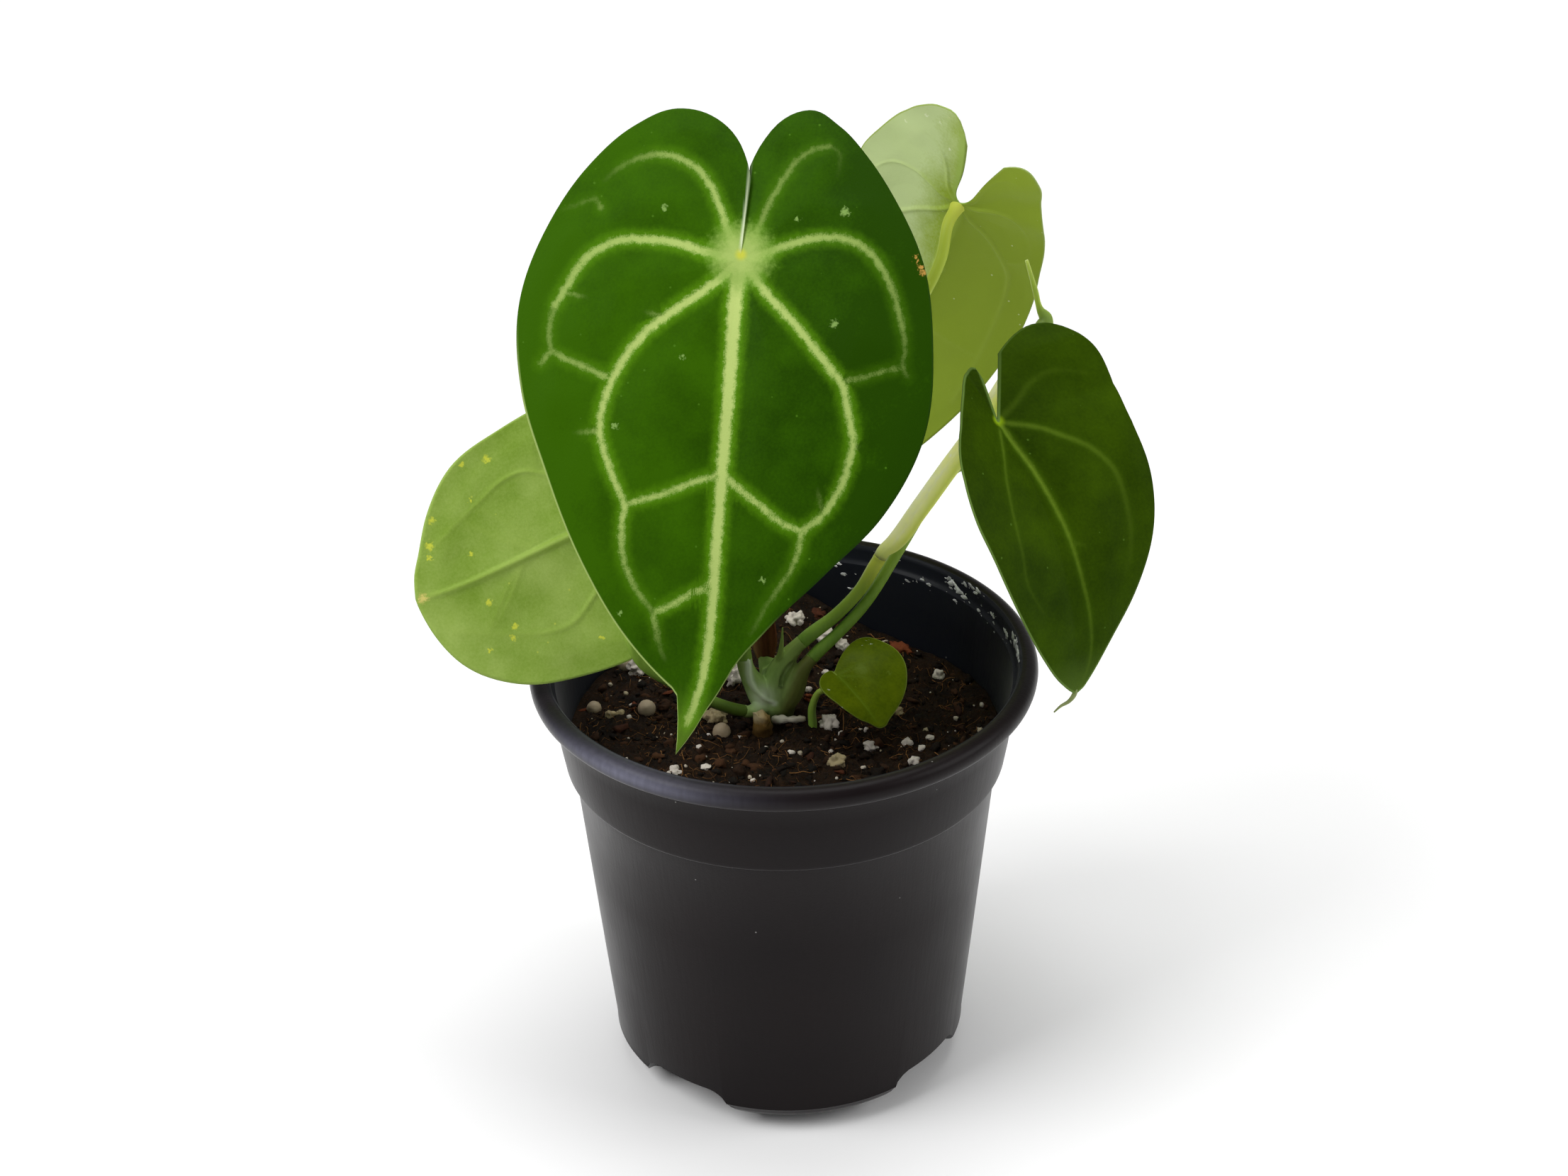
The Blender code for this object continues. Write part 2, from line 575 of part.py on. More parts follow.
# Brown scale leaf: a dry papery strip curved round the back of the crown's left side
def scale_leaf(name, stations, curl, paint):
    made = bmesh.new()
    path = smooth_path(stations, 3)
    bmesh.ops.create_grid(made, x_segments=6, y_segments=len(path) - 1, size=1.0)
    for vert in made.verts:
        station = round(0.5 * (vert.co.y + 1.0) * (len(path) - 1))
        x, y, z, half = path[station]
        a = curl * vert.co.x
        vert.co = Vector((x + half * math.sin(a) / curl, y + half * (math.cos(a) - 1) / curl,
                          z)) * MM
    bmesh.ops.triangulate(made, faces=made.faces)
    mesh = bpy.data.meshes.new(name)
    made.to_mesh(mesh)
    made.free()
    body = place(bpy.data.objects.new(name, mesh), paint=paint)
    shell = body.modifiers.new("thickness", "SOLIDIFY")
    shell.thickness = 0.7 * MM
    shell.offset = 0.0
    return body


scale_leaf("cataphyll_brown", [
    (-4.0, 9.3, 93.6, 2.1), (-4.3, 9.6, 98.0, 3.2), (-4.6, 10.0, 103.0, 3.0),
    (-4.9, 10.6, 108.0, 2.1), (-5.4, 11.2, 112.5, 0.5)], 0.9, SCALE_BROWN)

# Cut end of an old stalk and a pale twig beside it
STUB = (-4.8, -1.6, 2.3)
stub = place(bpy.data.objects.new("old_stub", tube_mesh("old_stub", [
    (STUB[0], STUB[1], 73.0, 2.0), (STUB[0], STUB[1], 80.0, 2.2),
    (STUB[0] - 0.2, STUB[1] - 0.1, 85.4, STUB[2])], 2, 2)), paint=SCALE_BROWN)


# Soil: a plug that fills the pot, its top uneven, with lumps of perlite and prills lying in it
def soil_height(x, y):
    """Height of the soil's top: heaped against the wall at the back, hollow at the crown."""
    spot = Vector((x, y, 0.0))
    lumps = 0.9 * noise.noise(spot * 0.16) + 0.5 * noise.noise(spot * 0.37)
    heap = 9.5 * math.exp(-((x + 4) ** 2 / 260.0 + (y - 50) ** 2 / 330.0))
    heap -= 1.7 * math.exp(-((x - 30) ** 2 + (y - 32) ** 2) / 420.0)
    hollow = 0.4 * math.exp(-((x - CROWN_X) ** 2 + (y - CROWN_Y) ** 2) / 130.0)
    hollow += 0.8 * math.exp(-((x + 6.5) ** 2 + (y - 3.5) ** 2) / 40.0)
    return SOIL_LEVEL + lumps + heap - hollow


SOIL_TOP_RADIUS = 47.0
soil_profile = [
    (0.0, SOIL_LEVEL), (9.0, SOIL_LEVEL), (17.0, SOIL_LEVEL), (24.0, SOIL_LEVEL),
    (31.0, SOIL_LEVEL), (37.0, SOIL_LEVEL), (42.5, SOIL_LEVEL),
    (SOIL_TOP_RADIUS, SOIL_LEVEL), (46.5, 78.2), (WALL_TOP_RADIUS - WALL - 0.6, WALL_TOP_Z + 1.6),
    (WALL_FOOT_RADIUS - WALL - 0.7, FOOT_BAND_Z + 1.2), (34.9, 4.1), (33.0, 2.4), (31.4, 1.8),
    (0.0, 1.8),
]
soil_guide = turned("soil_guide", soil_profile, 36)
bpy.context.scene.collection.objects.link(soil_guide)
bpy.context.view_layer.update()
soil_mesh = bpy.data.meshes.new_from_object(
    soil_guide.evaluated_get(bpy.context.evaluated_depsgraph_get()))
soil_mesh.name = "soil"
bpy.data.objects.remove(soil_guide, do_unlink=True)
for vert in soil_mesh.vertices:
    if vert.co.z > (SOIL_LEVEL - 0.1) * MM:
        vert.co.z = soil_height(vert.co.x / MM, vert.co.y / MM) * MM
shaped = bmesh.new()
shaped.from_mesh(soil_mesh)
bmesh.ops.recalc_face_normals(shaped, faces=shaped.faces)
bmesh.ops.triangulate(shaped, faces=shaped.faces)
shaped.to_mesh(soil_mesh)
shaped.free()
soil = place(bpy.data.objects.new("soil", soil_mesh), paint=SOIL_BROWN)
boolean(soil, alcove_ring("alcoves_soil", WALL + 0.5), "DIFFERENCE")

holes = bmesh.new()
for x, y, radius, bottom in ((CROWN_X, CROWN_Y, 4.4 + GAP + 0.2, 66.6),
                             (6.1, 0.2, 1.0 + GAP + 0.15, 71.6),
                             (STUB[0], STUB[1], STUB[2] + GAP + 0.1, 72.6)):
    top = SOIL_LEVEL + 6.0
    bmesh.ops.create_cone(
        holes, cap_ends=True, segments=20, radius1=radius * MM, radius2=radius * MM,
        depth=(top - bottom) * MM,
        matrix=Matrix.Translation((x * MM, y * MM, 0.5 * (top + bottom) * MM)))
hole_mesh = bpy.data.meshes.new("stem_holes")
holes.to_mesh(hole_mesh)
holes.free()
boolean(soil, hide_cutter(bpy.data.objects.new("stem_holes", hole_mesh)), "DIFFERENCE")

# Lumps that show, as (x, y, half width, flatness), then a scatter by rule over the rest
SEEN_LUMPS = (
    (2.8, 37.6, 2.1, 0.9), (9.6, 31.7, 3.3, 0.7), (11.4, 1.4, 2.0, 0.9), (18.4, 4.2, 1.2, 0.9),
    (-15.1, 3.9, 2.3, 0.8), (-13.8, -1.2, 2.0, 1.0), (-20.6, 8.3, 1.6, 0.8),
    (-32.1, 25.6, 3.4, 0.6), (-23.7, -17.8, 1.5, 0.8), (18.5, -8.5, 1.5, 0.7),
    (11.0, -15.1, 2.0, 0.8), (26.5, -7.3, 1.2, 0.9), (27.7, -15.0, 1.2, 0.8),
    (-10.4, 19.3, 2.6, 1.2), (-30.4, 7.6, 2.0, 1.0), (-42.1, 9.1, 1.7, 1.0),
    (-37.1, 27.3, 1.9, 1.0), (25.2, 5.8, 1.2, 0.8), (30.0, 37.9, 3.0, 0.5),
)
rng = random.Random(SOIL_SEED)
lumps = list(SEEN_LUMPS)
tries = 0
while len(lumps) < 31 and tries < 2000:
    tries += 1
    reach = 43.5 * math.sqrt(rng.random())
    way = rng.uniform(0.0, math.tau)
    x, y, half = reach * math.cos(way), reach * math.sin(way), rng.uniform(1.3, 2.4)
    if math.hypot(x - CROWN_X, y - CROWN_Y) < 11.0 or math.hypot(x - 4, y + 4) < 6.0:
        continue
    if math.hypot(x - STUB[0], y - STUB[1]) < 6.0 or (abs(x) < 30 and -32 < y < 20):
        continue
    if any(math.hypot(x - a, y - b) < half + c + 1.2 for a, b, c, _ in lumps):
        continue
    lumps.append((x, y, half, rng.uniform(0.6, 1.0)))

grains = bmesh.new()
for number, (x, y, half, flat) in enumerate(lumps):
    off_wall = min(1.0, (SOIL_TOP_RADIUS - 0.6 - 1.15 * half) / max(math.hypot(x, y), 1.0))
    x, y = x * off_wall, y * off_wall
    grain = bmesh.new()
    bmesh.ops.create_icosphere(grain, subdivisions=2 if flat == 1.0 else 1, radius=half * MM)
    for vert in grain.verts:
        rough = 1.0 + 0.35 * noise.noise(vert.co / MM * 0.9 + Vector((number * 7.3, 0, 0)))
        vert.co = Vector((vert.co.x * rough, vert.co.y * rough * 0.9, vert.co.z * rough * flat))
    turn = Matrix.Rotation(rng.uniform(0, math.tau), 4, "Z")
    lift = soil_height(x, y) + 0.15 * half
    grain.transform(Matrix.Translation((x * MM, y * MM, lift * MM)) @ turn)
    one = bpy.data.meshes.new("grain")
    grain.to_mesh(one)
    grain.free()
    grains.from_mesh(one)
    bpy.data.meshes.remove(one)
grain_mesh = bpy.data.meshes.new("soil_grains")
grains.to_mesh(grain_mesh)
grains.free()
boolean(soil, hide_cutter(bpy.data.objects.new("soil_grains", grain_mesh)), "UNION",
        "MANIFOLD")

# Twig: a short pale stick lying on the soil in front of the crown
stick_level = max(soil_height(x, 2.0) for x in (-3.0, -1.0, 1.0, 3.0, 5.0)) + 0.8 + GAP
place(bpy.data.objects.new("stick", tube_mesh("stick", [
    (-2.6, 1.7, stick_level, 0.75), (1.0, 1.5, stick_level, 0.8),
    (4.4, 1.7, stick_level, 0.65)], 1, 2)), paint=TWIG_PALE)
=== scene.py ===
"""Young velvet-leaf anthurium in a black nursery pot, seen from a little above its rim."""
import bmesh
import bpy
import math
import random
import numpy as np
from mathutils import Matrix, Vector, noise


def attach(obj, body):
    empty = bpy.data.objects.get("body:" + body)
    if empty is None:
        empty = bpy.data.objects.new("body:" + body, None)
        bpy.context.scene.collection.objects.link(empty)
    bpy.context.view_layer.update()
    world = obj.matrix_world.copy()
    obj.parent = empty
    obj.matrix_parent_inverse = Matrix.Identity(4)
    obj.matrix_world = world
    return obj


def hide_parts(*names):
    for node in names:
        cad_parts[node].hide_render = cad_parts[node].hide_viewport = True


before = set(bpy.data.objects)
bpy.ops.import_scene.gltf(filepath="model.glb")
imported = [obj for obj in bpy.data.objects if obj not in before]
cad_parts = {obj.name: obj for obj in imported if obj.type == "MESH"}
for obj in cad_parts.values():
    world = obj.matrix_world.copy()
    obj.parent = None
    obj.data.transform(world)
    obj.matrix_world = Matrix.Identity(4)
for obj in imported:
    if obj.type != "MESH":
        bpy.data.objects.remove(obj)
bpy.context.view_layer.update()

# Studio: a pale floor that runs out of sight and stays bright far from the lamps, a bright even
# surround, and broad soft lamps overhead and at both sides; the camera stands where the
# photograph was taken
MM = 0.001
FLOOR_REACH = 6.0
GLOW_FROM, GLOW_TO, GLOW = 0.42, 0.75, 0.2
SURROUND = 0.32
CAMERA_TILT, CAMERA_ROLL = math.radians(29.942), math.radians(-0.988)
CAMERA_DISTANCE = 0.7
CAMERA_AIM = (0.37, 0.0, 116.12)
SENSOR_WIDTH, FOCAL_PIXELS, PHOTO_PIXELS = 36.0, 4625.3, 2212.0


def srgb(red, green, blue):
    """Colour from screen values of 0 to 255."""
    linear = [c / 255 / 12.92 if c <= 10.31 else ((c / 255 + 0.055) / 1.055) ** 2.4
              for c in (red, green, blue)]
    return (*linear, 1.0)


def add(tree, kind, sockets=None, **settings):
    """Node of a kind with its settings; each socket gets a value or a link."""
    made = tree.nodes.new(kind)
    for name, value in settings.items():
        setattr(made, name, value)
    for name, value in (sockets or {}).items():
        if isinstance(value, bpy.types.NodeSocket):
            tree.links.new(value, made.inputs[name])
        else:
            made.inputs[name].default_value = value
    return made


def surface(name, roughness=0.5, **constants):
    """New material; gives it, its node tree and its shader."""
    made = bpy.data.materials.new(name)
    made.use_nodes = True
    shader = made.node_tree.nodes["Principled BSDF"]
    shader.inputs["Roughness"].default_value = roughness
    for key, value in constants.items():
        shader.inputs[key.replace("_", " ")].default_value = value
    return made, made.node_tree, shader


def fed(tree, node, **links):
    """Link values to a node's sockets."""
    for name, value in links.items():
        tree.links.new(value, node.inputs[name.replace("_", " ")])


def on_object(tree):
    """Place on the object, in metres."""
    return add(tree, "ShaderNodeTexCoord").outputs["Object"]


def blended(tree, share, under, over):
    """Colour that goes from one to another by a share."""
    return add(tree, "ShaderNodeMix", {0: share, 6: under, 7: over}, data_type="RGBA").outputs[2]


def ranged(tree, value, start, end, low=0.0, high=1.0, kind="LINEAR"):
    """Value that goes from low to high while another goes from start to end."""
    return add(tree, "ShaderNodeMapRange", {"Value": value, "From Min": start, "From Max": end,
                                            "To Min": low, "To Max": high},
               interpolation_type=kind).outputs["Result"]


def as_object(name, shape):
    """New object made from a bmesh, which is then let go."""
    mesh = bpy.data.meshes.new(name)
    shape.to_mesh(mesh)
    shape.free()
    return bpy.data.objects.new(name, mesh)


floor_paint, tree, shader = surface("studio_floor", 0.9, Emission_Strength=1.0)
speck = add(tree, "ShaderNodeTexNoise", {"Scale": 30.0, "Detail": 4.0}).outputs["Fac"]
away = add(tree, "ShaderNodeVectorMath", {0: on_object(tree)}, operation="LENGTH").outputs["Value"]
fed(tree, shader, Base_Color=blended(tree, speck, srgb(251, 251, 251), srgb(254, 254, 254)),
    Emission_Color=ranged(tree, away, GLOW_FROM, GLOW_TO, 0.0, GLOW))
floor_shape = bmesh.new()
bmesh.ops.create_grid(floor_shape, x_segments=8, y_segments=8, size=FLOOR_REACH)
floor = as_object("floor", floor_shape)
floor.data.materials.append(floor_paint)
bpy.context.scene.collection.objects.link(floor)

bpy.context.scene.view_settings.view_transform = "Standard"
world = bpy.data.worlds.new("surround")
bpy.context.scene.world = world
world.use_nodes = True
world.node_tree.nodes["Background"].inputs["Color"].default_value = (1.0, 1.0, 1.0, 1.0)
world.node_tree.nodes["Background"].inputs["Strength"].default_value = SURROUND

for lamp_name, place_at, aim_at, wide, power in (
        ("lamp_left", (-0.75, -0.35, 0.95), (0.0, 0.0, 0.14), 0.7, 9.5),
        ("lamp_right", (0.85, -0.15, 0.55), (0.0, 0.0, 0.10), 0.6, 3.2),
        ("lamp_top", (0.05, 0.25, 1.15), (0.0, 0.0, 0.12), 0.8, 6.5)):
    lamp = bpy.data.lights.new(lamp_name, "AREA")
    lamp.size = wide
    lamp.energy = power
    holder = bpy.data.objects.new(lamp_name, lamp)
    bpy.context.scene.collection.objects.link(holder)
    holder.location = place_at
    holder.rotation_euler = (Vector(aim_at) - Vector(place_at)).to_track_quat("-Z", "Y").to_euler()

forward = Vector((0.0, math.cos(CAMERA_TILT), -math.sin(CAMERA_TILT)))
level = Vector((1.0, 0.0, 0.0))
upward = level.cross(forward)
across = math.cos(CAMERA_ROLL) * level + math.sin(CAMERA_ROLL) * upward
above = -math.sin(CAMERA_ROLL) * level + math.cos(CAMERA_ROLL) * upward
camera_data = bpy.data.cameras.new("camera")
camera_data.sensor_width = SENSOR_WIDTH
camera_data.lens = FOCAL_PIXELS * SENSOR_WIDTH / PHOTO_PIXELS
camera = bpy.data.objects.new("camera", camera_data)
bpy.context.scene.collection.objects.link(camera)
camera.matrix_world = (Matrix.Translation(Vector(CAMERA_AIM) * MM - CAMERA_DISTANCE * forward)
                       @ Matrix((across, above, -forward)).transposed().to_4x4())
bpy.context.scene.camera = camera


# Pot: a thin shell of black moulded plastic with a rolled rim, a collar and four alcoves in its
# foot; it is satin outside, with a painted bluish reflection inside the mouth and a painted
# bluish-grey reflection on the left front of the rolled rim
POT_STEPS = 160
WALL_FOOT_RADIUS = 39.3
ALCOVE_HEIGHT, ALCOVE_FOOT_HALF, ALCOVE_TOP_HALF = 9.4, 15.2, 9.3
ALCOVE_INNER_RADIUS, ALCOVE_BACK_LEAN = 29.0, 2.4
ALCOVE_ROOF_RISE, ALCOVE_ROOF_RUN = 1.9, 10.3
ALCOVE_TURN = 7.2
NOTCH_TURN = 11.0
DRAIN_RADIUS, DRAIN_AT = 3, 33.5
BEYOND_WALL, BELOW_BASE = 60.0, -3.0
OUTER_WALL = [
    (0.0, 99.3), (51.7, 99.3), (52.1, 99.45), (52.8, 99.5), (53.5, 99.35), (54.1, 99.0),
    (54.5, 98.6), (54.8, 98.1), (54.97, 97.5), (55.0, 96.9), (54.9, 96.2), (54.7, 95.6),
    (54.3, 95.15), (53.8, 94.85), (53.1, 94.6), (52.3, 94.5), (50.6, 94.3), (50.4, 94.0),
    (49.75, 88.0), (49.1, 82.0), (48.3, 77.4), (48.2, 76.75), (48.12, 76.45), (47.95, 76.2),
    (47.7, 76.05), (47.4, 75.95), (46.6, 75.8), (46.35, 75.4), (44.0, 52.0), (41.6, 28.0),
    (39.45, 7.4), (39.5, 6.3), (39.25, 6.0), (38.9, 5.2), (38.3, 4.4), (37.4, 3.5), (36.2, 2.5),
    (35.3, 1.7), (34.2, 0.9), (33.2, 0.25), (32.0, 0.0), (0.0, 0.0)]
INNER_WALL = [
    (0.0, 109.0), (52.6, 109.0), (52.6, 107.0), (51.6, 99.6), (51.3, 99.1), (50.95, 98.7),
    (50.8, 98.2), (50.6, 96.4), (50.2, 95.7), (49.6, 95.2), (49.4, 94.5), (48.7, 88.0),
    (48.0, 82.0), (47.1, 77.4), (46.0, 76.9), (45.3, 76.7), (38.1, 6.8), (36.8, 4.8),
    (35.3, 3.4), (33.3, 1.9), (31.6, 1.4), (0.0, 1.4)]


def spun(name, profile, steps):
    """Closed turned body from a profile of (radius, height) that starts and ends on the axis."""
    made = bmesh.new()
    points = [made.verts.new((r * MM, 0.0, z * MM)) for r, z in profile]
    edges = [made.edges.new(pair) for pair in zip(points, points[1:])]
    bmesh.ops.spin(made, geom=points + edges, cent=(0, 0, 0), axis=(0, 0, 1), dvec=(0, 0, 0),
                   angle=math.tau, steps=steps, use_merge=True, use_duplicate=False)
    bmesh.ops.remove_doubles(made, verts=made.verts, dist=0.000005)
    bmesh.ops.recalc_face_normals(made, faces=made.faces)
    return as_object(name, made)


def poured(pile, one):
    """Put one bmesh into another, and give the count of its points."""
    copied = bpy.data.meshes.new("copied")
    one.to_mesh(copied)
    one.free()
    pile.from_mesh(copied)
    count = len(copied.vertices)
    bpy.data.meshes.remove(copied)
    return count


def alcoves(name, grow):
    """Four rounded blocks under the edge of the base, between the feet."""
    ring = bmesh.new()
    height, inner = ALCOVE_HEIGHT + grow, ALCOVE_INNER_RADIUS - grow
    foot, top_half = ALCOVE_FOOT_HALF + grow, ALCOVE_TOP_HALF + grow
    spread = (foot - top_half) / height
    roof_slope = ALCOVE_ROOF_RISE / (ALCOVE_ROOF_RUN + grow)
    for quarter in range(4):
        one = bmesh.new()
        for corner in bmesh.ops.create_cube(one, size=1.0)["verts"]:
            top, out = corner.co.z > 0, corner.co.x > 0
            radius = BEYOND_WALL if out else inner + (ALCOVE_BACK_LEAN if top else 0.0)
            rise = height + roof_slope * (radius - WALL_FOOT_RADIUS) if top else BELOW_BASE
            wide = top_half if top else foot - BELOW_BASE * spread
            corner.co = (radius * MM, math.copysign(wide, corner.co.y) * MM, rise * MM)
        long_edges = [e for e in one.edges if all(w.co.z > 0 for w in e.verts)
                      or all(abs(w.co.x - inner * MM) < 0.003 for w in e.verts)]
        bmesh.ops.bevel(one, geom=long_edges, offset=2.5 * MM, segments=5, profile=0.5,
                        affect="EDGES", material=-1)
        one.transform(Matrix.Rotation(math.radians(ALCOVE_TURN - 45 + 90 * quarter), 4, "Z"))
        poured(ring, one)
    return as_object(name, ring)


def joined(body, cutter, operation, solver="EXACT"):
    """Cut one body with another, or add it, once settled."""
    step = body.modifiers.new(operation.lower(), "BOOLEAN")
    step.operation = operation
    step.object = cutter
    step.solver = solver


def settled(thing):
    """The object with its modifiers applied, and their helpers gone."""
    helpers = [m.object for m in thing.modifiers if m.type == "BOOLEAN"]
    for item in [thing] + helpers:
        if item.name not in bpy.context.scene.collection.objects:
            bpy.context.scene.collection.objects.link(item)
    bpy.context.view_layer.update()
    final = bpy.data.meshes.new_from_object(
        thing.evaluated_get(bpy.context.evaluated_depsgraph_get()))
    thing.modifiers.clear()
    thing.data = final
    if not any(final.materials):
        final.materials.clear()
    for item in helpers:
        bpy.data.objects.remove(item, do_unlink=True)
    return thing


def finished(thing, paints, material_slot, *nodes):
    """Shade a piece smooth, paint it, and put it in the place of its plain solids."""
    if thing.name not in bpy.context.scene.collection.objects:
        bpy.context.scene.collection.objects.link(thing)
    if not thing.data.materials:
        for paint in paints:
            thing.data.materials.append(paint)
    thing.data.polygons.foreach_set("use_smooth", [True] * len(thing.data.polygons))
    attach(thing, "root")
    if nodes:
        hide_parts(*nodes)
    return thing


def stored(thing, name, values, kind="FLOAT"):
    """Keep one number, or one vector, at each point of a piece for its material to read."""
    layer = thing.data.attributes.new(name, kind, "POINT")
    layer.data.foreach_set("value" if kind == "FLOAT" else "vector",
                           np.asarray(values, np.float32).ravel())


def points_of(mesh):
    """Places of a mesh's points in millimetres, one row each."""
    flat = np.zeros(len(mesh.vertices) * 3)
    mesh.vertices.foreach_get("co", flat)
    return flat.reshape(-1, 3) / MM


pot_body = spun("pot_shell", OUTER_WALL, POT_STEPS)
cavity = spun("pot_hollow", INNER_WALL, POT_STEPS)
joined(cavity, alcoves("alcoves_inside", 1.1), "DIFFERENCE")
settled(cavity)
joined(pot_body, alcoves("alcoves_outside", 0.0), "DIFFERENCE")
notches = bmesh.new()
for quarter in range(4):
    block = bmesh.ops.create_cube(notches, size=1.0)["verts"]
    for corner in block:
        top, out = corner.co.z > 0, corner.co.x > 0
        radius = BEYOND_WALL if out else (32.9 if top else 30.5)
        rise = 4.1 + 4.22 / 8.8 * (radius - WALL_FOOT_RADIUS) if top else BELOW_BASE
        wide = 3.8 if top else 5.8 - BELOW_BASE * 2.0 / 4.1
        corner.co = Vector((radius, math.copysign(wide, corner.co.y), rise)) * MM
    bmesh.ops.rotate(notches, verts=block, cent=(0, 0, 0),
                     matrix=Matrix.Rotation(math.radians(NOTCH_TURN + 90 * quarter), 3, "Z"))
    angle = math.radians(ALCOVE_TURN - 45 + 90 * quarter)
    hole_at = Vector((DRAIN_AT * math.cos(angle), DRAIN_AT * math.sin(angle), 4))
    bmesh.ops.create_cone(notches, cap_ends=True, segments=32, radius1=DRAIN_RADIUS * MM,
                          radius2=DRAIN_RADIUS * MM, depth=16 * MM,
                          matrix=Matrix.Translation(hole_at * MM))
joined(pot_body, as_object("notches", notches), "DIFFERENCE")
joined(pot_body, cavity, "DIFFERENCE")
settled(pot_body)

at = points_of(pot_body.data)
round_mouth = np.hypot(at[:, 0], at[:, 1])
# Painted reflection: the inside of the mouth is painted a lighter, bluish black
stored(pot_body, "mouth", ((at[:, 2] > 77.0) & (round_mouth < np.interp(
    at[:, 2], [77.0, 82.0, 94.4, 94.6, 99.2], [47.6, 48.5, 49.9, 50.4, 51.55]))).astype(float))
# Painted reflection: a bluish-grey sheen painted on the upper outer face of the rolled rim at the
# left front
turned_left = np.degrees(np.arctan2(at[:, 1], at[:, 0])) + 128.0
stored(pot_body, "rim_reflection_painted", np.exp(-(turned_left / 21.0) ** 2 - ((at[:, 2] - 97.6) / 1.7) ** 2)
       * ((at[:, 2] > 94.4) & (round_mouth > 51.6)))


def grain(tree, at, scale, detail, roughness=0.5):
    """Cloudy pattern from 0 to 1 at a place."""
    return add(tree, "ShaderNodeTexNoise", {"Vector": at, "Scale": scale, "Detail": detail,
                                            "Roughness": roughness}).outputs["Fac"]


def kept(tree, name):
    """Number kept at each point of a piece."""
    return add(tree, "ShaderNodeAttribute", attribute_name=name).outputs["Fac"]


def computed(tree, operation, *values, held=False):
    """Result of one step of arithmetic; held keeps it from 0 to 1."""
    return add(tree, "ShaderNodeMath", dict(enumerate(values)), operation=operation,
               use_clamp=held).outputs[0]


def embossed(tree, height, strength, distance=0.0002):
    """Fine relief of the surface."""
    return add(tree, "ShaderNodeBump", {"Strength": strength, "Distance": distance,
                                        "Height": height}).outputs[0]


pot_paint, tree, shader = surface("pot_black_plastic", 0.36, Specular_IOR_Level=0.11,
                                  Sheen_Weight=0.22, Sheen_Roughness=0.3)
spot = on_object(tree)
broad = grain(tree, spot, 45.0, 5.0)
pebble = grain(tree, spot, 1900.0, 2.0)
streak_at = add(tree, "ShaderNodeMapping", {"Vector": spot, "Scale": (900.0, 900.0, 60.0)})
streak = grain(tree, streak_at.outputs[0], 1.0, 3.0)
motes = add(tree, "ShaderNodeTexVoronoi", {"Vector": spot, "Scale": 95.0}).outputs["Distance"]
black = blended(tree, broad, srgb(12, 7, 9), srgb(22, 15, 15))
# Painted bluish reflection inside the mouth
mouth_reflected = blended(tree, kept(tree, "mouth"), black, srgb(27, 29, 36))
patchy = computed(tree, "MULTIPLY_ADD", streak, 0.6, 0.6)
# Painted reflection on the rim's left front, streaky, over the black
rim_reflected = blended(tree, computed(tree, "MULTIPLY", kept(tree, "rim_reflection_painted"), patchy, held=True), mouth_reflected,
               srgb(104, 104, 119))
moted = blended(tree, ranged(tree, motes, 0.022, 0.014), rim_reflected, srgb(120, 118, 116))
height = computed(tree, "MULTIPLY_ADD", pebble, 0.4, streak)
fed(tree, shader, Base_Color=moted, Roughness=ranged(tree, broad, 0.3, 0.7, 0.30, 0.42),
    Normal=embossed(tree, height, 0.16))
finished(pot_body, [pot_paint], "pot_black_plastic", "pot")
pot_body.data.set_sharp_from_angle(angle=math.radians(32))


# Soil: a plug of moist peaty mix that fills the pot, heaped against the wall at the back, with
# crumbs, fibres, white perlite, round tan prills and a few chips of bark lying in it; flakes of
# dried lime cling to the wall above it
SOIL_LEVEL = 81.0
CROWN_X, CROWN_Y = -2.0, 7.5
STUB_X, STUB_Y = -4.8, -1.6
SMALL_X, SMALL_Y = 6.1, 0.2


def soil_height(x, y):
    """Height of the soil's top: heaped at the back, hollow at the crown."""
    spot = Vector((x, y, 0.0))
    lumps = 0.9 * noise.noise(spot * 0.16) + 0.5 * noise.noise(spot * 0.37)
    heap = 9.5 * math.exp(-((x + 4) ** 2 / 260.0 + (y - 50) ** 2 / 330.0))
    heap -= 1.7 * math.exp(-((x - 30) ** 2 + (y - 32) ** 2) / 420.0)
    hollow = 0.4 * math.exp(-((x - CROWN_X) ** 2 + (y - CROWN_Y) ** 2) / 130.0)
    hollow += 0.8 * math.exp(-((x + 6.5) ** 2 + (y - 3.5) ** 2) / 40.0)
    return SOIL_LEVEL + lumps + heap - hollow


def crumbly(x, y):
    """Rise of the loose crumb over the soil's broad shape."""
    spot = Vector((x, y, 3.0))
    rise = 1.5 * (abs(noise.noise(spot * 0.42)) - 0.2)
    rise += 0.9 * (abs(noise.noise(spot * 0.95)) - 0.2) + 0.5 * noise.noise(spot * 2.1)
    return rise


soil_profile = [(0.0, SOIL_LEVEL)] + [(0.42 * k, SOIL_LEVEL) for k in range(1, 112)]
soil_profile += [(47.0, SOIL_LEVEL), (46.5, 78.2), (44.7, 77.1), (37.5, 7.2), (34.9, 4.1),
                 (33.0, 2.4), (31.4, 1.8), (0.0, 1.8)]
soil_body = spun("soil_bed", soil_profile, 288)
for vert in soil_body.data.vertices:
    if vert.co.z > (SOIL_LEVEL - 0.1) * MM:
        x, y = vert.co.x / MM, vert.co.y / MM
        off_wall = min(1.0, (47.1 - math.hypot(x, y)) / 2.0)
        near_stem = min(1.0, math.hypot(x - CROWN_X, y - CROWN_Y) / 7.0)
        vert.co.z = (soil_height(x, y) + crumbly(x, y) * off_wall * near_stem) * MM
joined(soil_body, alcoves("alcoves_soil", 1.6), "DIFFERENCE")
settled(soil_body)

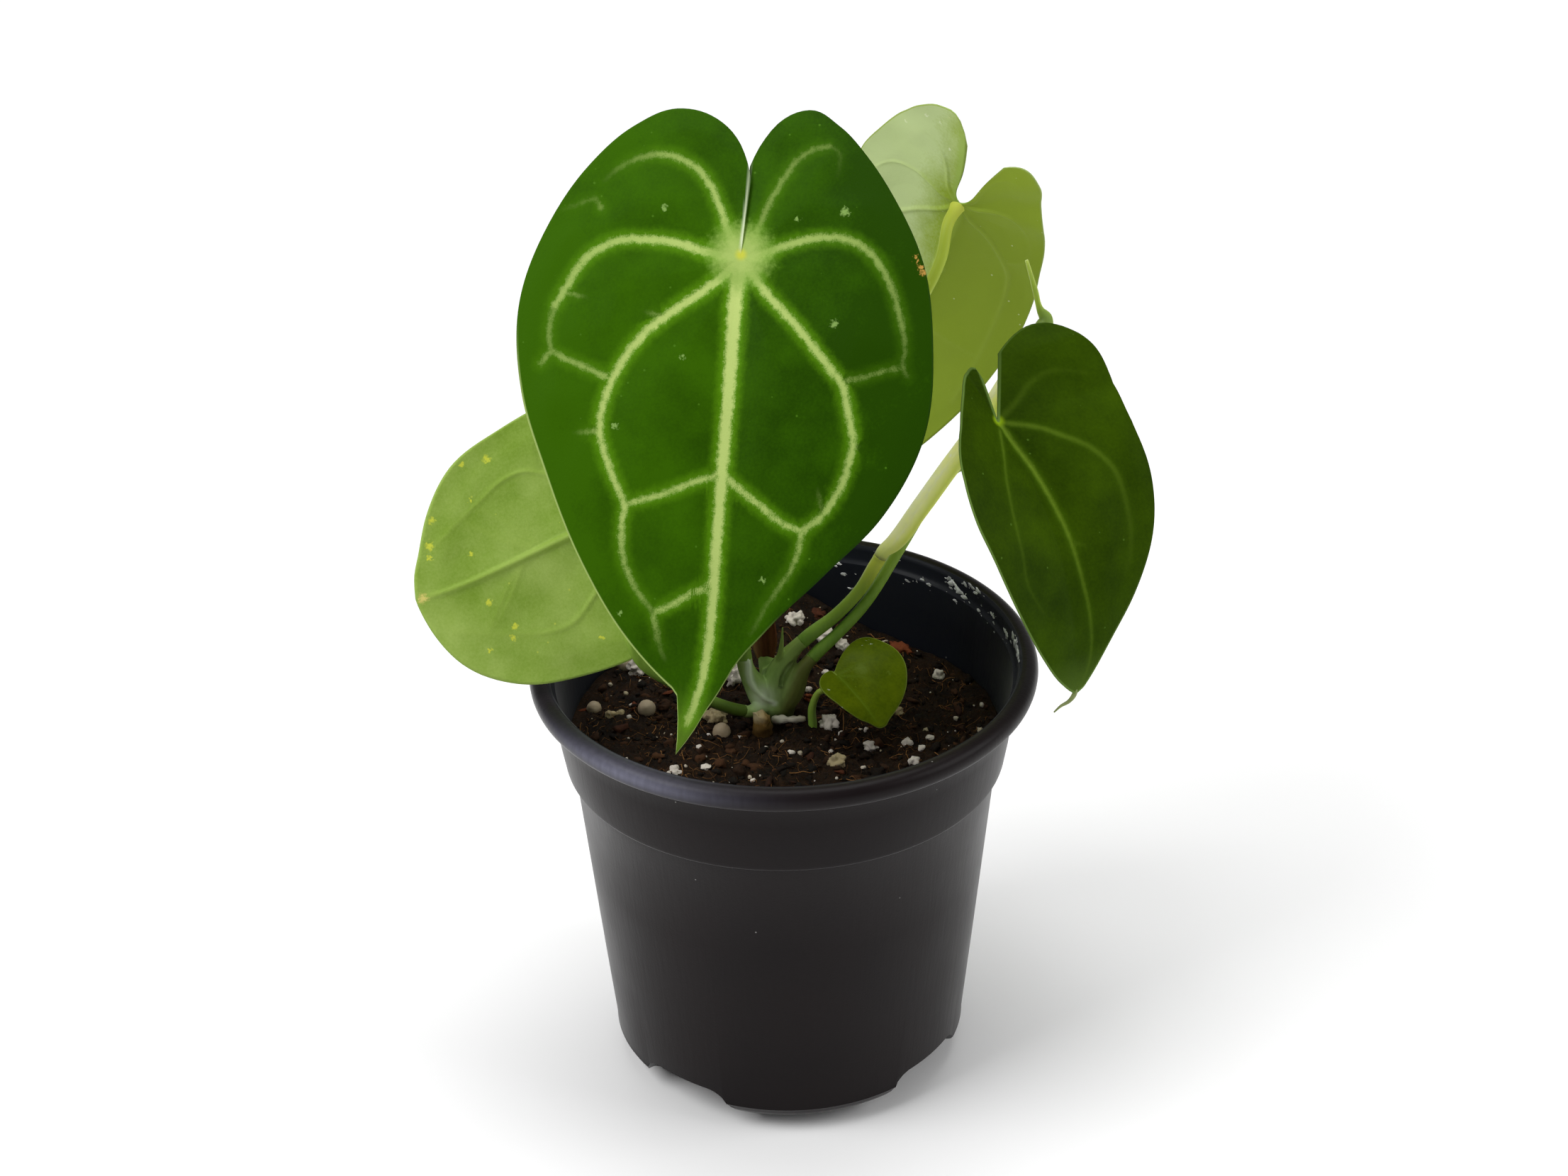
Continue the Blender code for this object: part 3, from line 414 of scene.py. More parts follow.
soil_paint, tree, shader = surface("soil_dark_brown", 0.85, Specular_IOR_Level=0.15)
spot = on_object(tree)
patches = grain(tree, spot, 160.0, 6.0, 0.7)
fine = grain(tree, spot, 1400.0, 5.0, 0.75)
peat = blended(tree, ranged(tree, patches, 0.36, 0.68), srgb(13, 8, 3), srgb(46, 29, 14))
flecked = blended(tree, ranged(tree, fine, 0.56, 0.74), peat, srgb(86, 58, 32))
fed(tree, shader, Base_Color=flecked, Roughness=ranged(tree, fine, 0.35, 0.6, 0.55, 0.95),
    Normal=embossed(tree, fine, 0.9, 0.0006))
finished(soil_body, [soil_paint], "soil_dark_brown", "soil")


def lump_into(pile, tones, tone_of, x, y, z, half, flat, seed, sides, rough=0.35, fine=0.0,
              wide=0.9, lie=None):
    """Add one rough lump to a pile, and note its tone at each of its points."""
    one = bmesh.new()
    bmesh.ops.create_icosphere(one, subdivisions=sides, radius=half * MM)
    for vert in one.verts:
        way = vert.co / MM * 0.9 + Vector((seed * 7.3, 0, 0))
        grow = 1.0 + rough * noise.noise(way)
        grow += fine * noise.noise(way * 3.1)
        vert.co = Vector((vert.co.x * grow, vert.co.y * grow * wide, vert.co.z * grow * flat))
    one.transform(Matrix.Translation(Vector((x, y, z)) * MM)
                  @ (lie or Matrix.Rotation((seed * 2.399) % math.tau, 4, "Z")))
    tones.extend([tone_of] * poured(pile, one))


def piled(name, pile, tones, paint, material_slot="soil_dark_brown"):
    """One piece from a pile of lumps, with the tone of each."""
    thing = as_object(name, pile)
    stored(thing, "tone", tones)
    return finished(thing, [paint], material_slot)


def toned_paint(name, low, high, roughness, scale, strength, between=0.5):
    """Material whose colour runs from low to high by each lump's tone, with a fine grain."""
    made, tree, shader = surface(name, roughness, Specular_IOR_Level=0.2)
    fine = grain(tree, on_object(tree), scale, 4.0, 0.65)
    spread = computed(tree, "MULTIPLY_ADD", fine, between, -0.5 * between)
    total = computed(tree, "ADD", kept(tree, "tone"), spread, held=True)
    fed(tree, shader, Base_Color=blended(tree, total, low, high),
        Normal=embossed(tree, fine, strength, 0.0003))
    return made


def clear_of_stems(x, y, room=0.0):
    """Whether a place on the soil is free of the crown, the old stub and the small stalk."""
    return (math.hypot(x - CROWN_X, y - CROWN_Y) > 7.5 + room
            and math.hypot(x - STUB_X, y - STUB_Y) > 3.0 + room
            and math.hypot(x - SMALL_X, y - SMALL_Y) > 1.7 + room)


def scattered(rng, widest):
    """Random place on the soil, and its distance from the pot's axis."""
    reach, way = widest * math.sqrt(rng.random()), rng.uniform(0.0, math.tau)
    return reach * math.cos(way), reach * math.sin(way), reach


rng = random.Random(21)
crumbs, crumb_tones = bmesh.new(), []
for number in range(1300):
    x, y, reach = scattered(rng, 46.2)
    half = 0.35 + 1.15 * rng.random() ** 3.5
    if not clear_of_stems(x, y, half * 0.5) or reach > 46.9 - 1.3 * half:
        continue
    z = soil_height(x, y) + crumbly(x, y) * 0.7 + half * rng.uniform(-0.3, 0.35)
    lump_into(crumbs, crumb_tones, rng.random() ** 2.5, x, y, z, half, rng.uniform(0.4, 0.85),
              number, 2, 1.0, 0.5, rng.uniform(0.5, 0.95))
piled("soil_crumbs", crumbs, crumb_tones,
      toned_paint("soil_crumb_brown", srgb(13, 8, 3), srgb(70, 43, 22), 0.85, 1500.0, 0.9))

# Lumps that the photograph shows: place on the soil, half width, and height for width, with 1.0
# for the round prills
SEEN_LUMPS = (
    (2.8, 37.6, 2.1, 0.9), (10.2, 34.2, 2.6, 0.7), (9.6, 1.3, 2.2, 0.9), (18.4, 4.2, 1.2, 0.9),
    (-15.1, 3.9, 2.3, 0.8), (-13.8, -1.2, 2.0, 1.0), (-20.6, 8.3, 1.6, 0.8),
    (-32.1, 25.6, 3.4, 0.6), (-23.7, -17.8, 1.5, 0.8), (18.5, -8.5, 1.5, 0.7),
    (11.0, -15.1, 2.0, 0.8), (26.5, -7.3, 1.2, 0.9), (27.7, -15.0, 1.2, 0.8),
    (-10.4, 19.3, 2.6, 1.2), (-30.4, 7.6, 2.0, 1.0), (-42.1, 9.1, 1.7, 1.0),
    (-37.1, 27.3, 1.9, 1.0), (25.2, 5.8, 1.2, 0.8), (30.0, 37.9, 3.0, 0.5),
    (5.5, 14.8, 0.8, 0.9), (12.3, -3.4, 0.8, 0.9), (13.3, 33.0, 1.7, 0.8), (1.3, -10.1, 0.7, 0.9),
    (29.5, -9.7, 0.9, 0.8), (-17.1, -16.1, 1.1, 0.5), (-7.0, -20.4, 0.6, 0.9),
    (-9.6, -3.4, 0.7, 0.9), (17.8, -2.0, 0.7, 0.8), (31.5, -5.7, 0.9, 0.6),
    (34.9, 22.0, 1.3, 0.9), (9.3, 22.8, 0.8, 0.9),
    (-38.4, 5.4, 1.2, 0.9), (-36.4, 6.9, 1.0, 0.8),
)
RUSTY_CHIP, TAN_LUMPS = 18, (4, 10, 17, 31, 32)
HIDDEN_LUMPS, HEAP_FROM_Y = 4, 38
rng = random.Random(7)
lumps = list(SEEN_LUMPS)
while len(lumps) < len(SEEN_LUMPS) + HIDDEN_LUMPS:
    x, y, _ = scattered(rng, 43.5)
    half = rng.uniform(1.3, 2.4)
    if y < HEAP_FROM_Y:
        continue
    if any(math.hypot(x - a, y - b) < half + c + 1.2 for a, b, c, _ in lumps):
        continue
    lumps.append((x, y, half, rng.uniform(0.6, 1.0)))

perlite, perlite_tones = bmesh.new(), []
prills, prill_tones = bmesh.new(), []
bark, bark_tones = bmesh.new(), []
for number, (x, y, half, flat) in enumerate(lumps):
    off_wall = min(1.0, (46.4 - 1.15 * half) / max(math.hypot(x, y), 1.0))
    x, y = x * off_wall, y * off_wall
    z = soil_height(x, y) + 0.15 * half + max(0.0, 0.6 * crumbly(x, y))
    if flat == 1.0:
        lump_into(prills, prill_tones, 0.5 + 0.4 * noise.noise(Vector((x, y, 0))), x, y, z,
                  half, 1.0, number, 4, 0.06, 0.03, 1.0)
    elif number == RUSTY_CHIP or number >= len(SEEN_LUMPS) + 2:
        lump_into(bark, bark_tones, 0.85 if number == RUSTY_CHIP else 0.25, x, y, z, half, 0.45,
                  number, 3, 0.9, 0.3, 0.55)
    else:
        lump_into(perlite, perlite_tones, 0.1 if number in TAN_LUMPS else 0.75, x, y, z, half,
                  flat, number, 4, 0.6, 0.14)
rng = random.Random(33)
for number in range(230):
    x, y, _ = scattered(rng, 45.8)
    half = 0.18 + 0.6 * rng.random() ** 4
    if not clear_of_stems(x, y):
        continue
    z = soil_height(x, y) + crumbly(x, y) + 0.3 * half
    lump_into(perlite, perlite_tones, rng.uniform(0.2, 0.9), x, y, z, half,
              rng.uniform(0.6, 1.0), 100 + number, 2, 0.8, 0.4)
for number in range(44):
    x, y, _ = scattered(rng, 45.0)
    if clear_of_stems(x, y, 2.0):
        z = soil_height(x, y) + crumbly(x, y) + 0.2
        lump_into(bark, bark_tones, 0.6 * rng.random() ** 2, x, y, z, rng.uniform(0.8, 2.0), 0.3,
                  500 + number, 2, 0.9, 0.4, rng.uniform(0.3, 0.6))
lump_into(bark, bark_tones, 0.8, 5.6, 11.6, soil_height(5.6, 11.6) + 0.6, 1.3, 0.7, 77, 3, 0.9, 0.4,
          0.6)
piled("soil_perlite", perlite, perlite_tones,
      toned_paint("perlite_white", srgb(158, 140, 96), srgb(228, 220, 214), 0.8, 1700.0, 0.8,
                  0.3))
piled("soil_prills", prills, prill_tones,
      toned_paint("prill_tan", srgb(112, 88, 48), srgb(204, 188, 164), 0.45, 500.0, 0.2, 0.4))
piled("soil_bark", bark, bark_tones,
      toned_paint("bark_rust", srgb(36, 20, 10), srgb(126, 64, 34), 0.85, 900.0, 0.9, 0.4))


def smooth_path(points, per_span, least=3.5):
    """Smooth curve through rows of numbers, spaced by all but their last; short spans kept."""
    rows = [tuple(p) for p in points]
    spans = [max(math.dist(a[:-1], b[:-1]), 1e-6) for a, b in zip(rows, rows[1:])]
    slopes = [tuple((q - p) / h for p, q in zip(a, b)) for a, b, h in
              zip(rows, rows[1:], spans)]
    bends = [slopes[0]]
    for i in range(1, len(rows) - 1):
        h0, h1 = spans[i - 1], spans[i]
        bends.append(tuple((s0 * h1 + s1 * h0) / (h0 + h1)
                           for s0, s1 in zip(slopes[i - 1], slopes[i])))
    bends.append(slopes[-1])
    out = []
    for i, h in enumerate(spans):
        steps = per_span if h > least else 1
        for k in range(steps):
            t = k / steps
            a, b = 2 * t ** 3 - 3 * t ** 2 + 1, 3 * t ** 2 - 2 * t ** 3
            c, d = h * (t ** 3 - 2 * t ** 2 + t), h * (t ** 3 - t ** 2)
            out.append(tuple(a * p + b * q + c * m + d * n for p, q, m, n in
                             zip(rows[i], rows[i + 1], bends[i], bends[i + 1])))
    out.append(rows[-1])
    return out


def tube(name, stations, sides=16, per_span=6):
    """Closed tube with domed ends through stations of (x, y, z, radius)."""
    path = smooth_path(stations, per_span, 0.8)
    first, last = path[0], path[-1]
    lead = (Vector(path[1][:3]) - Vector(first[:3])).normalized()
    tail = (Vector(last[:3]) - Vector(path[-2][:3])).normalized()
    path = ([(*(Vector(first[:3]) - 0.3 * first[3] * lead), 0.55 * first[3])] + path
            + [(*(Vector(last[:3]) + 0.3 * last[3] * tail), 0.55 * last[3])])
    curve = bpy.data.curves.new(name, "CURVE")
    curve.dimensions = "3D"
    curve.bevel_depth = MM
    curve.bevel_resolution = sides // 4 - 1
    curve.use_fill_caps = True
    spline = curve.splines.new("POLY")
    spline.points.add(len(path) - 1)
    for point, (x, y, z, radius) in zip(spline.points, path):
        point.co = (x * MM, y * MM, z * MM, 1.0)
        point.radius = radius
    guide = bpy.data.objects.new(name + "_guide", curve)
    bpy.context.scene.collection.objects.link(guide)
    bpy.context.view_layer.update()
    mesh = bpy.data.meshes.new_from_object(
        guide.evaluated_get(bpy.context.evaluated_depsgraph_get()))
    mesh.name = name
    bpy.data.objects.remove(guide, do_unlink=True)
    welded = bmesh.new()
    welded.from_mesh(mesh)
    bmesh.ops.remove_doubles(welded, verts=welded.verts, dist=0.000005)
    bmesh.ops.recalc_face_normals(welded, faces=welded.faces)
    welded.to_mesh(mesh)
    welded.free()
    return bpy.data.objects.new(name, mesh)


rng = random.Random(58)
fibres, fibre_tones = bmesh.new(), []
for number in range(900):
    x, y, _ = scattered(rng, 45.6)
    heading, bend = rng.uniform(0.0, math.tau), rng.uniform(-0.6, 0.6)
    length, thick = 1.5 + 6.5 * rng.random() ** 2, rng.uniform(0.05, 0.12)
    row, fits = [], True
    for k in range(6):
        inside_wall = math.hypot(x, y) < 46.0
        fits = fits and inside_wall and clear_of_stems(x, y)
        lift = soil_height(x, y) + max(crumbly(x, y), -0.3) + 0.35 * math.sin(k * 0.9 + number)
        row.append((x, y, lift + 0.25, thick * (1.0 - 0.09 * k)))
        x, y = x + length / 5 * math.cos(heading), y + length / 5 * math.sin(heading)
        heading += bend
    if not fits:
        continue
    strand = bmesh.new()
    ring_of = []
    for k, (px, py, pz, radius) in enumerate(row):
        ahead = Vector(row[min(k + 1, 5)][:3]) - Vector(row[max(k - 1, 0)][:3])
        side = ahead.cross(Vector((0, 0, 1))).normalized()
        lifted = side.cross(ahead).normalized()
        ring_of.append([strand.verts.new((Vector((px, py, pz)) + radius * (
            math.cos(a) * side + math.sin(a) * lifted)) * MM) for a in (0.0, 2.094, 4.189)])
    for low, high in zip(ring_of, ring_of[1:]):
        for a in range(3):
            strand.faces.new((low[a], low[(a + 1) % 3], high[(a + 1) % 3], high[a]))
    strand.faces.new(ring_of[0])
    strand.faces.new(ring_of[-1])
    bmesh.ops.recalc_face_normals(strand, faces=strand.faces)
    fibre_tones.extend([rng.random()] * poured(fibres, strand))
piled("soil_fibres", fibres, fibre_tones,
      toned_paint("fibre_brown", srgb(44, 26, 12), srgb(146, 102, 56), 0.8, 900.0, 0.4))

# Flakes that the photograph shows: degrees round the wall from +X, height and half width
LIME_SPOTS = (
    (42.6, 97.9, 0.45), (41.4, 97.2, 0.7), (39.1, 96.8, 0.9), (37.9, 96.2, 0.7),
    (35.7, 95.7, 0.55), (38.3, 94.4, 0.4), (36.5, 98.6, 0.45), (34.0, 98.9, 0.6),
    (31.6, 99.0, 0.7), (32.0, 98.3, 0.4), (29.1, 95.4, 0.45), (23.2, 96.5, 0.5),
    (21.1, 95.6, 0.35), (15.3, 96.6, 0.45), (13.4, 96.4, 0.6), (10.2, 96.3, 0.4),
    (8.6, 98.2, 0.7), (6.0, 98.2, 0.95), (3.4, 98.1, 1.0), (0.8, 98.1, 0.9), (-1.4, 98.0, 0.6),
    (54.8, 94.1, 0.3), (48.0, 95.1, 0.35), (50.7, 95.4, 0.3), (75.0, 94.8, 0.4),
    (73.3, 92.4, 0.4), (71.3, 89.1, 0.3), (60.5, 97.6, 0.5), (63.0, 97.0, 0.35))
rng = random.Random(91)
flakes, flake_tones = bmesh.new(), []
for number in range(4 * len(LIME_SPOTS)):
    turned, z, half = LIME_SPOTS[number % len(LIME_SPOTS)]
    if number >= len(LIME_SPOTS):
        turned, z = turned + rng.gauss(0.0, 1.6), z + rng.gauss(0.0, 0.7)
        half *= rng.uniform(0.15, 0.5)
    z = min(z, 98.9)
    radius = float(np.interp(z, [88.0, 94.5, 95.2, 95.7, 96.4, 98.2, 98.7, 99.1],
                             [48.7, 49.4, 49.6, 50.2, 50.6, 50.8, 50.95, 51.3]))
    around = math.radians(turned)
    lump_into(flakes, flake_tones, rng.random(), radius * math.cos(around),
              radius * math.sin(around), z, 1.75 * half, 0.14, 900 + number, 2, 1.1, 0.7, 0.6,
              Matrix.Rotation(around, 4, "Z") @ Matrix.Rotation(math.radians(90), 4, "Y")
              @ Matrix.Rotation(rng.uniform(0.9, 2.2), 4, "Z"))
piled("lime_flakes", flakes, flake_tones,
      toned_paint("lime_white", srgb(150, 150, 152), srgb(232, 232, 232), 0.9, 1500.0, 0.6, 0.4),
      "pot_black_plastic")


# Crown: the short stem with the clasping bases of the stalks grown round it, and a green scale
# leaf; it is smooth pale grey-green tissue, greener towards the stalks and olive-brown on the
# right sheath, with painted shade on its right side and in the crease along the gap, a painted
# highlight at its lower left and along the fold, and darker towards its foot
def parted(stations, at, stretch=1.6):
    """Split a stalk's path of (x, y, z, radius) at a station: two runs in line."""
    ahead = (Vector(stations[at + 1][:3]) - Vector(stations[at - 1][:3])).normalized()
    spot, radius = Vector(stations[at][:3]), stations[at][3]
    lower = stations[:at] + [(*(spot - stretch * ahead), radius), (*spot, radius)]
    upper = [(*spot, radius), (*(spot + stretch * ahead), radius)] + stations[at + 1:]
    return lower, upper


sheath_front, stalk_front = parted([
    (-3.0, 7.0, 81.6, 3.4), (-5.4, 5.8, 87.0, 3.0), (-7.7, 4.9, 91.9, 2.0),
    (-8.6, 4.8, 96.0, 1.8), (-10.2, 6.0, 112.0, 1.55), (-10.4, 9.5, 138.0, 1.45),
    (-9.2, 14.5, 166.0, 1.4), (-7.9, 15.5, 182.0, 1.4)], 3)
sheath_new, stalk_new = parted([
    (-1.6, 7.0, 82.5, 3.6), (-1.2, 6.6, 90.0, 3.1), (0.9, 6.7, 94.8, 2.2),
    (4.2, 7.3, 98.4, 1.62), (11.4, 9.2, 103.6, 1.45), (17.0, 10.6, 109.4, 1.4),
    (20.6, 11.7, 115.3, 1.5), (21.3, 11.9, 116.6, 1.5), (21.9, 12.0, 117.9, 1.5)], 3)
sheath_right, stalk_right = parted([
    (-0.5, 7.0, 83.0, 3.1), (2.0, 5.6, 87.8, 2.8), (3.8, 5.3, 91.8, 1.9),
    (6.3, 5.7, 95.2, 1.5), (11.3, 7.5, 99.5, 1.35), (17.1, 10.0, 104.9, 1.3),
    (26.2, 16.3, 117.0, 1.25), (32.6, 20.2, 126.4, 1.2), (37.2, 20.8, 132.6, 1.15),
    (43.2, 15.6, 138.5, 1.1), (44.8, 10.0, 144.0, 1.1)], 3)
sheath_back, stalk_back = parted([
    (-1.8, 9.0, 84.0, 3.0), (-3.6, 11.2, 91.0, 2.0), (-4.3, 12.9, 97.4, 1.5),
    (-3.9, 14.0, 101.5, 1.45), (0.8, 17.9, 115.0, 1.4), (8.6, 22.2, 128.0, 1.35),
    (18.6, 29.0, 145.0, 1.3), (28.0, 35.5, 161.0, 1.25), (35.6, 41.5, 174.0, 1.25)], 3)
sheath_left, stalk_left = parted([
    (-3.4, 5.6, 83.2, 2.1), (-5.8, 3.5, 83.7, 1.7), (-9.0, 0.9, 84.8, 1.37),
    (-16.6, -5.0, 91.5, 1.3), (-24.0, -10.5, 99.5, 1.3), (-30.3, -14.8, 107.9, 1.3),
    (-32.4, -15.6, 116.0, 1.25), (-30.8, -11.0, 126.0, 1.2)], 2)


def grouped(name, inputs, outputs):
    """New node group with its sockets; gives it, what it is given, and its output node."""
    group = bpy.data.node_groups.new(name, "ShaderNodeTree")
    for in_out, kinds in (("INPUT", inputs), ("OUTPUT", outputs)):
        for kind, names in kinds.items():
            for socket in names:
                group.interface.new_socket(name=socket, in_out=in_out,
                                           socket_type="NodeSocket" + kind)
    return group, group.nodes.new("NodeGroupInput").outputs, group.nodes.new("NodeGroupOutput")


def tissue_group():
    """Colour, roughness and relief of smooth plant skin: broad mottle, streaks and pale dots."""
    group, given, out = grouped(
        "plant_skin", {"Vector": ("At",), "Color": ("Low", "High", "Dot"),
                       "Float": ("Mottle", "Fine", "Dots", "Lean")},
        {"Color": ("Color",), "Float": ("Roughness", "Height")})
    broad = grain(group, given["At"], given["Mottle"], 4.0, 0.6)
    fine = grain(group, given["At"], given["Fine"], 3.0, 0.6)
    both = computed(group, "MULTIPLY_ADD", broad, 1.5, given["Lean"])
    more = computed(group, "MULTIPLY_ADD", fine, 0.5, both)
    tint = blended(group, ranged(group, more, 0.65, 1.35), given["Low"], given["High"])
    cells = add(group, "ShaderNodeTexVoronoi", {"Vector": given["At"], "Scale": given["Dots"]})
    lots = add(group, "ShaderNodeSeparateXYZ", {"Vector": cells.outputs["Color"]})
    wide = computed(group, "MULTIPLY_ADD", lots.outputs["X"], 0.2, -0.09)
    dot = ranged(group, cells.outputs["Distance"], wide, computed(group, "SUBTRACT", wide, 0.04))
    fed(group, out, Color=blended(group, dot, tint, given["Dot"]),
        Roughness=ranged(group, broad, 0.3, 0.7, 0.38, 0.55), Height=more)
    return group


plant_skin = tissue_group()


def shifted(tree, colour, blends):
    """Colour that goes to other tones by numbers kept on the piece: (name, tone, most)."""
    for name, tone, most in blends:
        colour = blended(tree, computed(tree, "MULTIPLY", kept(tree, name), most), colour, tone)
    return colour


def skin_paint(name, low, high, dot, mottle=90.0, fine=700.0, dots=260.0, lean=0.0,
               bump=0.25, stretch=(1.0, 1.0, 1.0), blends=()):
    """Plant skin that reads the place on the object, and goes to other tones by attributes."""
    made, tree, shader = surface(name, 0.45, Specular_IOR_Level=0.2)
    drawn = add(tree, "ShaderNodeMapping", {"Vector": on_object(tree), "Scale": stretch})
    cover = add(tree, "ShaderNodeGroup", {
        "At": drawn.outputs[0], "Low": low, "High": high, "Dot": dot, "Mottle": mottle,
        "Fine": fine, "Dots": dots, "Lean": lean}, node_tree=plant_skin).outputs
    fed(tree, shader, Base_Color=shifted(tree, cover["Color"], blends),
        Roughness=cover["Roughness"], Normal=embossed(tree, cover["Height"], bump))
    return made


def off_path(at, path):
    """Distance of each point from the nearest of a path's straight runs."""
    nearest = np.full(len(at), 1e6)
    for a, b in zip(np.array(path)[:-1], np.array(path)[1:]):
        t = np.clip((at - a) @ (b - a) / max((b - a) @ (b - a), 1e-9), 0, 1)
        nearest = np.minimum(nearest, np.linalg.norm(at - a - t[:, None] * (b - a), axis=1))
    return nearest


crown_parts = {
    "stem": [(CROWN_X, CROWN_Y, 67.0, 4.3), (CROWN_X, CROWN_Y, 76.0, 4.4),
             (CROWN_X, CROWN_Y, 84.5, 4.3), (CROWN_X + 0.2, CROWN_Y + 0.4, 90.5, 3.0)],
    "sheath_front": sheath_front, "sheath_new": sheath_new, "sheath_right": sheath_right,
    "sheath_back": sheath_back, "sheath_left": sheath_left,
    "scale_green": [(-0.9, 6.2, 92.4, 1.2), (-0.7, 5.5, 96.2, 0.75), (-0.3, 5.4, 99.6, 0.45),
                    (-0.1, 5.6, 103.0, 0.2)],
    "fold": [(-8.9, 4.3, 99.0, 0.25), (-7.6, 3.4, 95.4, 0.4), (-7.6, 3.1, 93.2, 0.45),
             (-7.3, 3.0, 91.1, 0.5), (-6.4, 2.9, 89.1, 0.5), (-4.4, 3.0, 86.6, 0.45),
             (-2.3, 3.5, 85.1, 0.3)],
}
CROWN_GAP = ((4.4, 5.3, 97.0), (2.4, 4.5, 94.9), (1.3, 4.5, 94.0), (0.4, 3.9, 92.9),
             (-0.4, 3.6, 91.3), (-0.7, 3.6, 89.2))
crown_mesh = bmesh.new()
for part_name, stations in crown_parts.items():
    one = tube(part_name, stations, 24, 8)
    crown_mesh.from_mesh(one.data)
    bpy.data.objects.remove(one)
crown = as_object("crown_sheaths", crown_mesh)
grown = crown.modifiers.new("grown_together", "REMESH")
grown.mode = "VOXEL"
grown.voxel_size = 0.22 * MM
eased = crown.modifiers.new("eased", "SMOOTH")
eased.factor = 0.5
eased.iterations = 4
settled(crown)
joined(crown, tube("crown_gap", [(*spot, 0.55) for spot in CROWN_GAP], 12, 4), "DIFFERENCE",
       "MANIFOLD")
settled(crown)
at = points_of(crown.data)
fold_path = np.array([spot[:3] for spot in crown_parts["fold"]])
stored(crown, "greener", np.clip((at[:, 2] - 91.0) / 6.0, 0, 1))
# Olive-brown tissue of the right sheath, and painted shade on the crown's right side
stored(crown, "olive_brown_and_shade", np.clip(0.35 * (at[:, 0] + 0.4) - 0.12 * (at[:, 2] - 90.0), 0, 1)
       * (at[:, 2] < 96.0))
# Painted highlight at the lower left of the crown, and along the ridge of the fold
stored(crown, "paler", np.maximum(
    np.exp(-(np.linalg.norm(at - (-5.0, 3.2, 86.8), axis=1) / 2.5) ** 2),
    np.exp(-(off_path(at, fold_path) / 0.75) ** 2)))
# Painted shade in the crease along the gap; also darker towards the foot
stored(crown, "crease_shade_and_foot", np.maximum(np.exp(-(off_path(at, CROWN_GAP) / 0.55) ** 2),
                                   np.clip((83.6 - at[:, 2]) / 1.5, 0, 1)))
crown_paint = skin_paint(
    "crown_grey_green", srgb(124, 158, 78), srgb(176, 206, 120), srgb(194, 212, 150), 150.0, 900.0,
    400.0, 0.0, 0.3, (1.0, 1.0, 0.35), (
        ("greener", srgb(136, 160, 78), 0.9), ("olive_brown_and_shade", srgb(106, 106, 50), 0.85),
        ("paler", srgb(228, 242, 212), 1.0), ("crease_shade_and_foot", srgb(46, 52, 22), 0.85)))
finished(crown, [crown_paint], "crown_grey_green", "crown")


# Stalks: slender round leaf stalks of firm green tissue, faintly streaked, each swelling a
# little where it meets the blade; the one of the new leaf runs on into the rolled blade
BLADE = 0.8
RIB_SINK = 0.45
OUTLINE_ANGLES = (0, 2, 5, 10, 20, 34, 50, 70, 92, 114, 134, 150, 162, 172, 178)


class Leaf:
    """Heart-shaped blade: junction, direction to the tip, upper side, outline and relief."""

    def __init__(self, join, tip_way, face, left, right, length, bow, fold, cup, lobe=0.0,
                 wave=0.0, waves=5.0, one_side=0.0, rib=0.0, span=(178.0, 178.0), drift=0.0,
                 sinus=0.0, rounded=0.0, beyond=()):
        self.join = np.array(join)
        self.normal = np.array(face) / np.linalg.norm(face)
        way = np.array(tip_way) - np.dot(tip_way, self.normal) * self.normal
        self.way = way / np.linalg.norm(way)
        self.side = np.cross(self.normal, self.way)
        self.tables = [np.array(smooth_path(list(zip(OUTLINE_ANGLES, radii)), 6) + list(more))
                       for radii, more in ((left, beyond or ((182.0, left[-1] - sinus),)),
                                           (right, ((182.0, right[-1] - sinus),)))]
        self.rounded = rounded
        self.length, self.bow, self.fold, self.cup, self.lobe = length, bow, fold, cup, lobe
        self.wave, self.waves, self.one_side, self.drift = wave, waves, one_side, drift
        self.rib, self.span, self.sinus = rib, span, sinus
        self.knob = RIB_SINK + 2 * rib + 0.1 if rib else BLADE + 0.38
        square = self.normal - 4.0 * bow / length * self.way
        self.square = Vector(square / np.linalg.norm(square))

    def reach(self, degrees):
        """Distance from the junction to the edge at angles from the tip."""
        left, right = (np.interp(np.abs(degrees), table[:, 0], table[:, 1])
                       for table in self.tables)
        return np.where(degrees >= 0, right, left)

    def flat(self, degrees, share):
        """Place in the leaf's own plane: along the midrib and to the side."""
        radius = self.reach(degrees) * share
        turned = np.radians(degrees * (1.0 - self.rounded * np.exp(-radius / 2.8)))
        return radius * np.cos(turned), radius * np.sin(turned)

    def height(self, u, v, edge):
        """Rise of the upper face above the leaf's plane."""
        fade = np.clip(1.15 - 1.1 * np.maximum(u, 0) / self.length, 0.15, 1.0)
        fold = self.fold * fade + self.lobe * np.clip(-u / (0.2 * self.length), 0, 1)
        rise = self.bow * 4 * u * (self.length - u) / self.length ** 2
        rise = rise + fold * np.abs(v) - self.cup * v * v - self.one_side * np.maximum(-v, 0)
        return rise + self.wave * edge ** 3 * np.sin(self.waves * np.arctan2(v, u) + 0.7)

    def lay(self, u, v, rise):
        """Points in space, from places in the leaf's plane and their rise above it."""
        bent = v + self.drift * np.maximum(0.0, (u / self.length - 0.86) / 0.14) ** 2
        return (self.join + u[:, None] * self.way + bent[:, None] * self.side
                + rise[:, None] * self.normal)


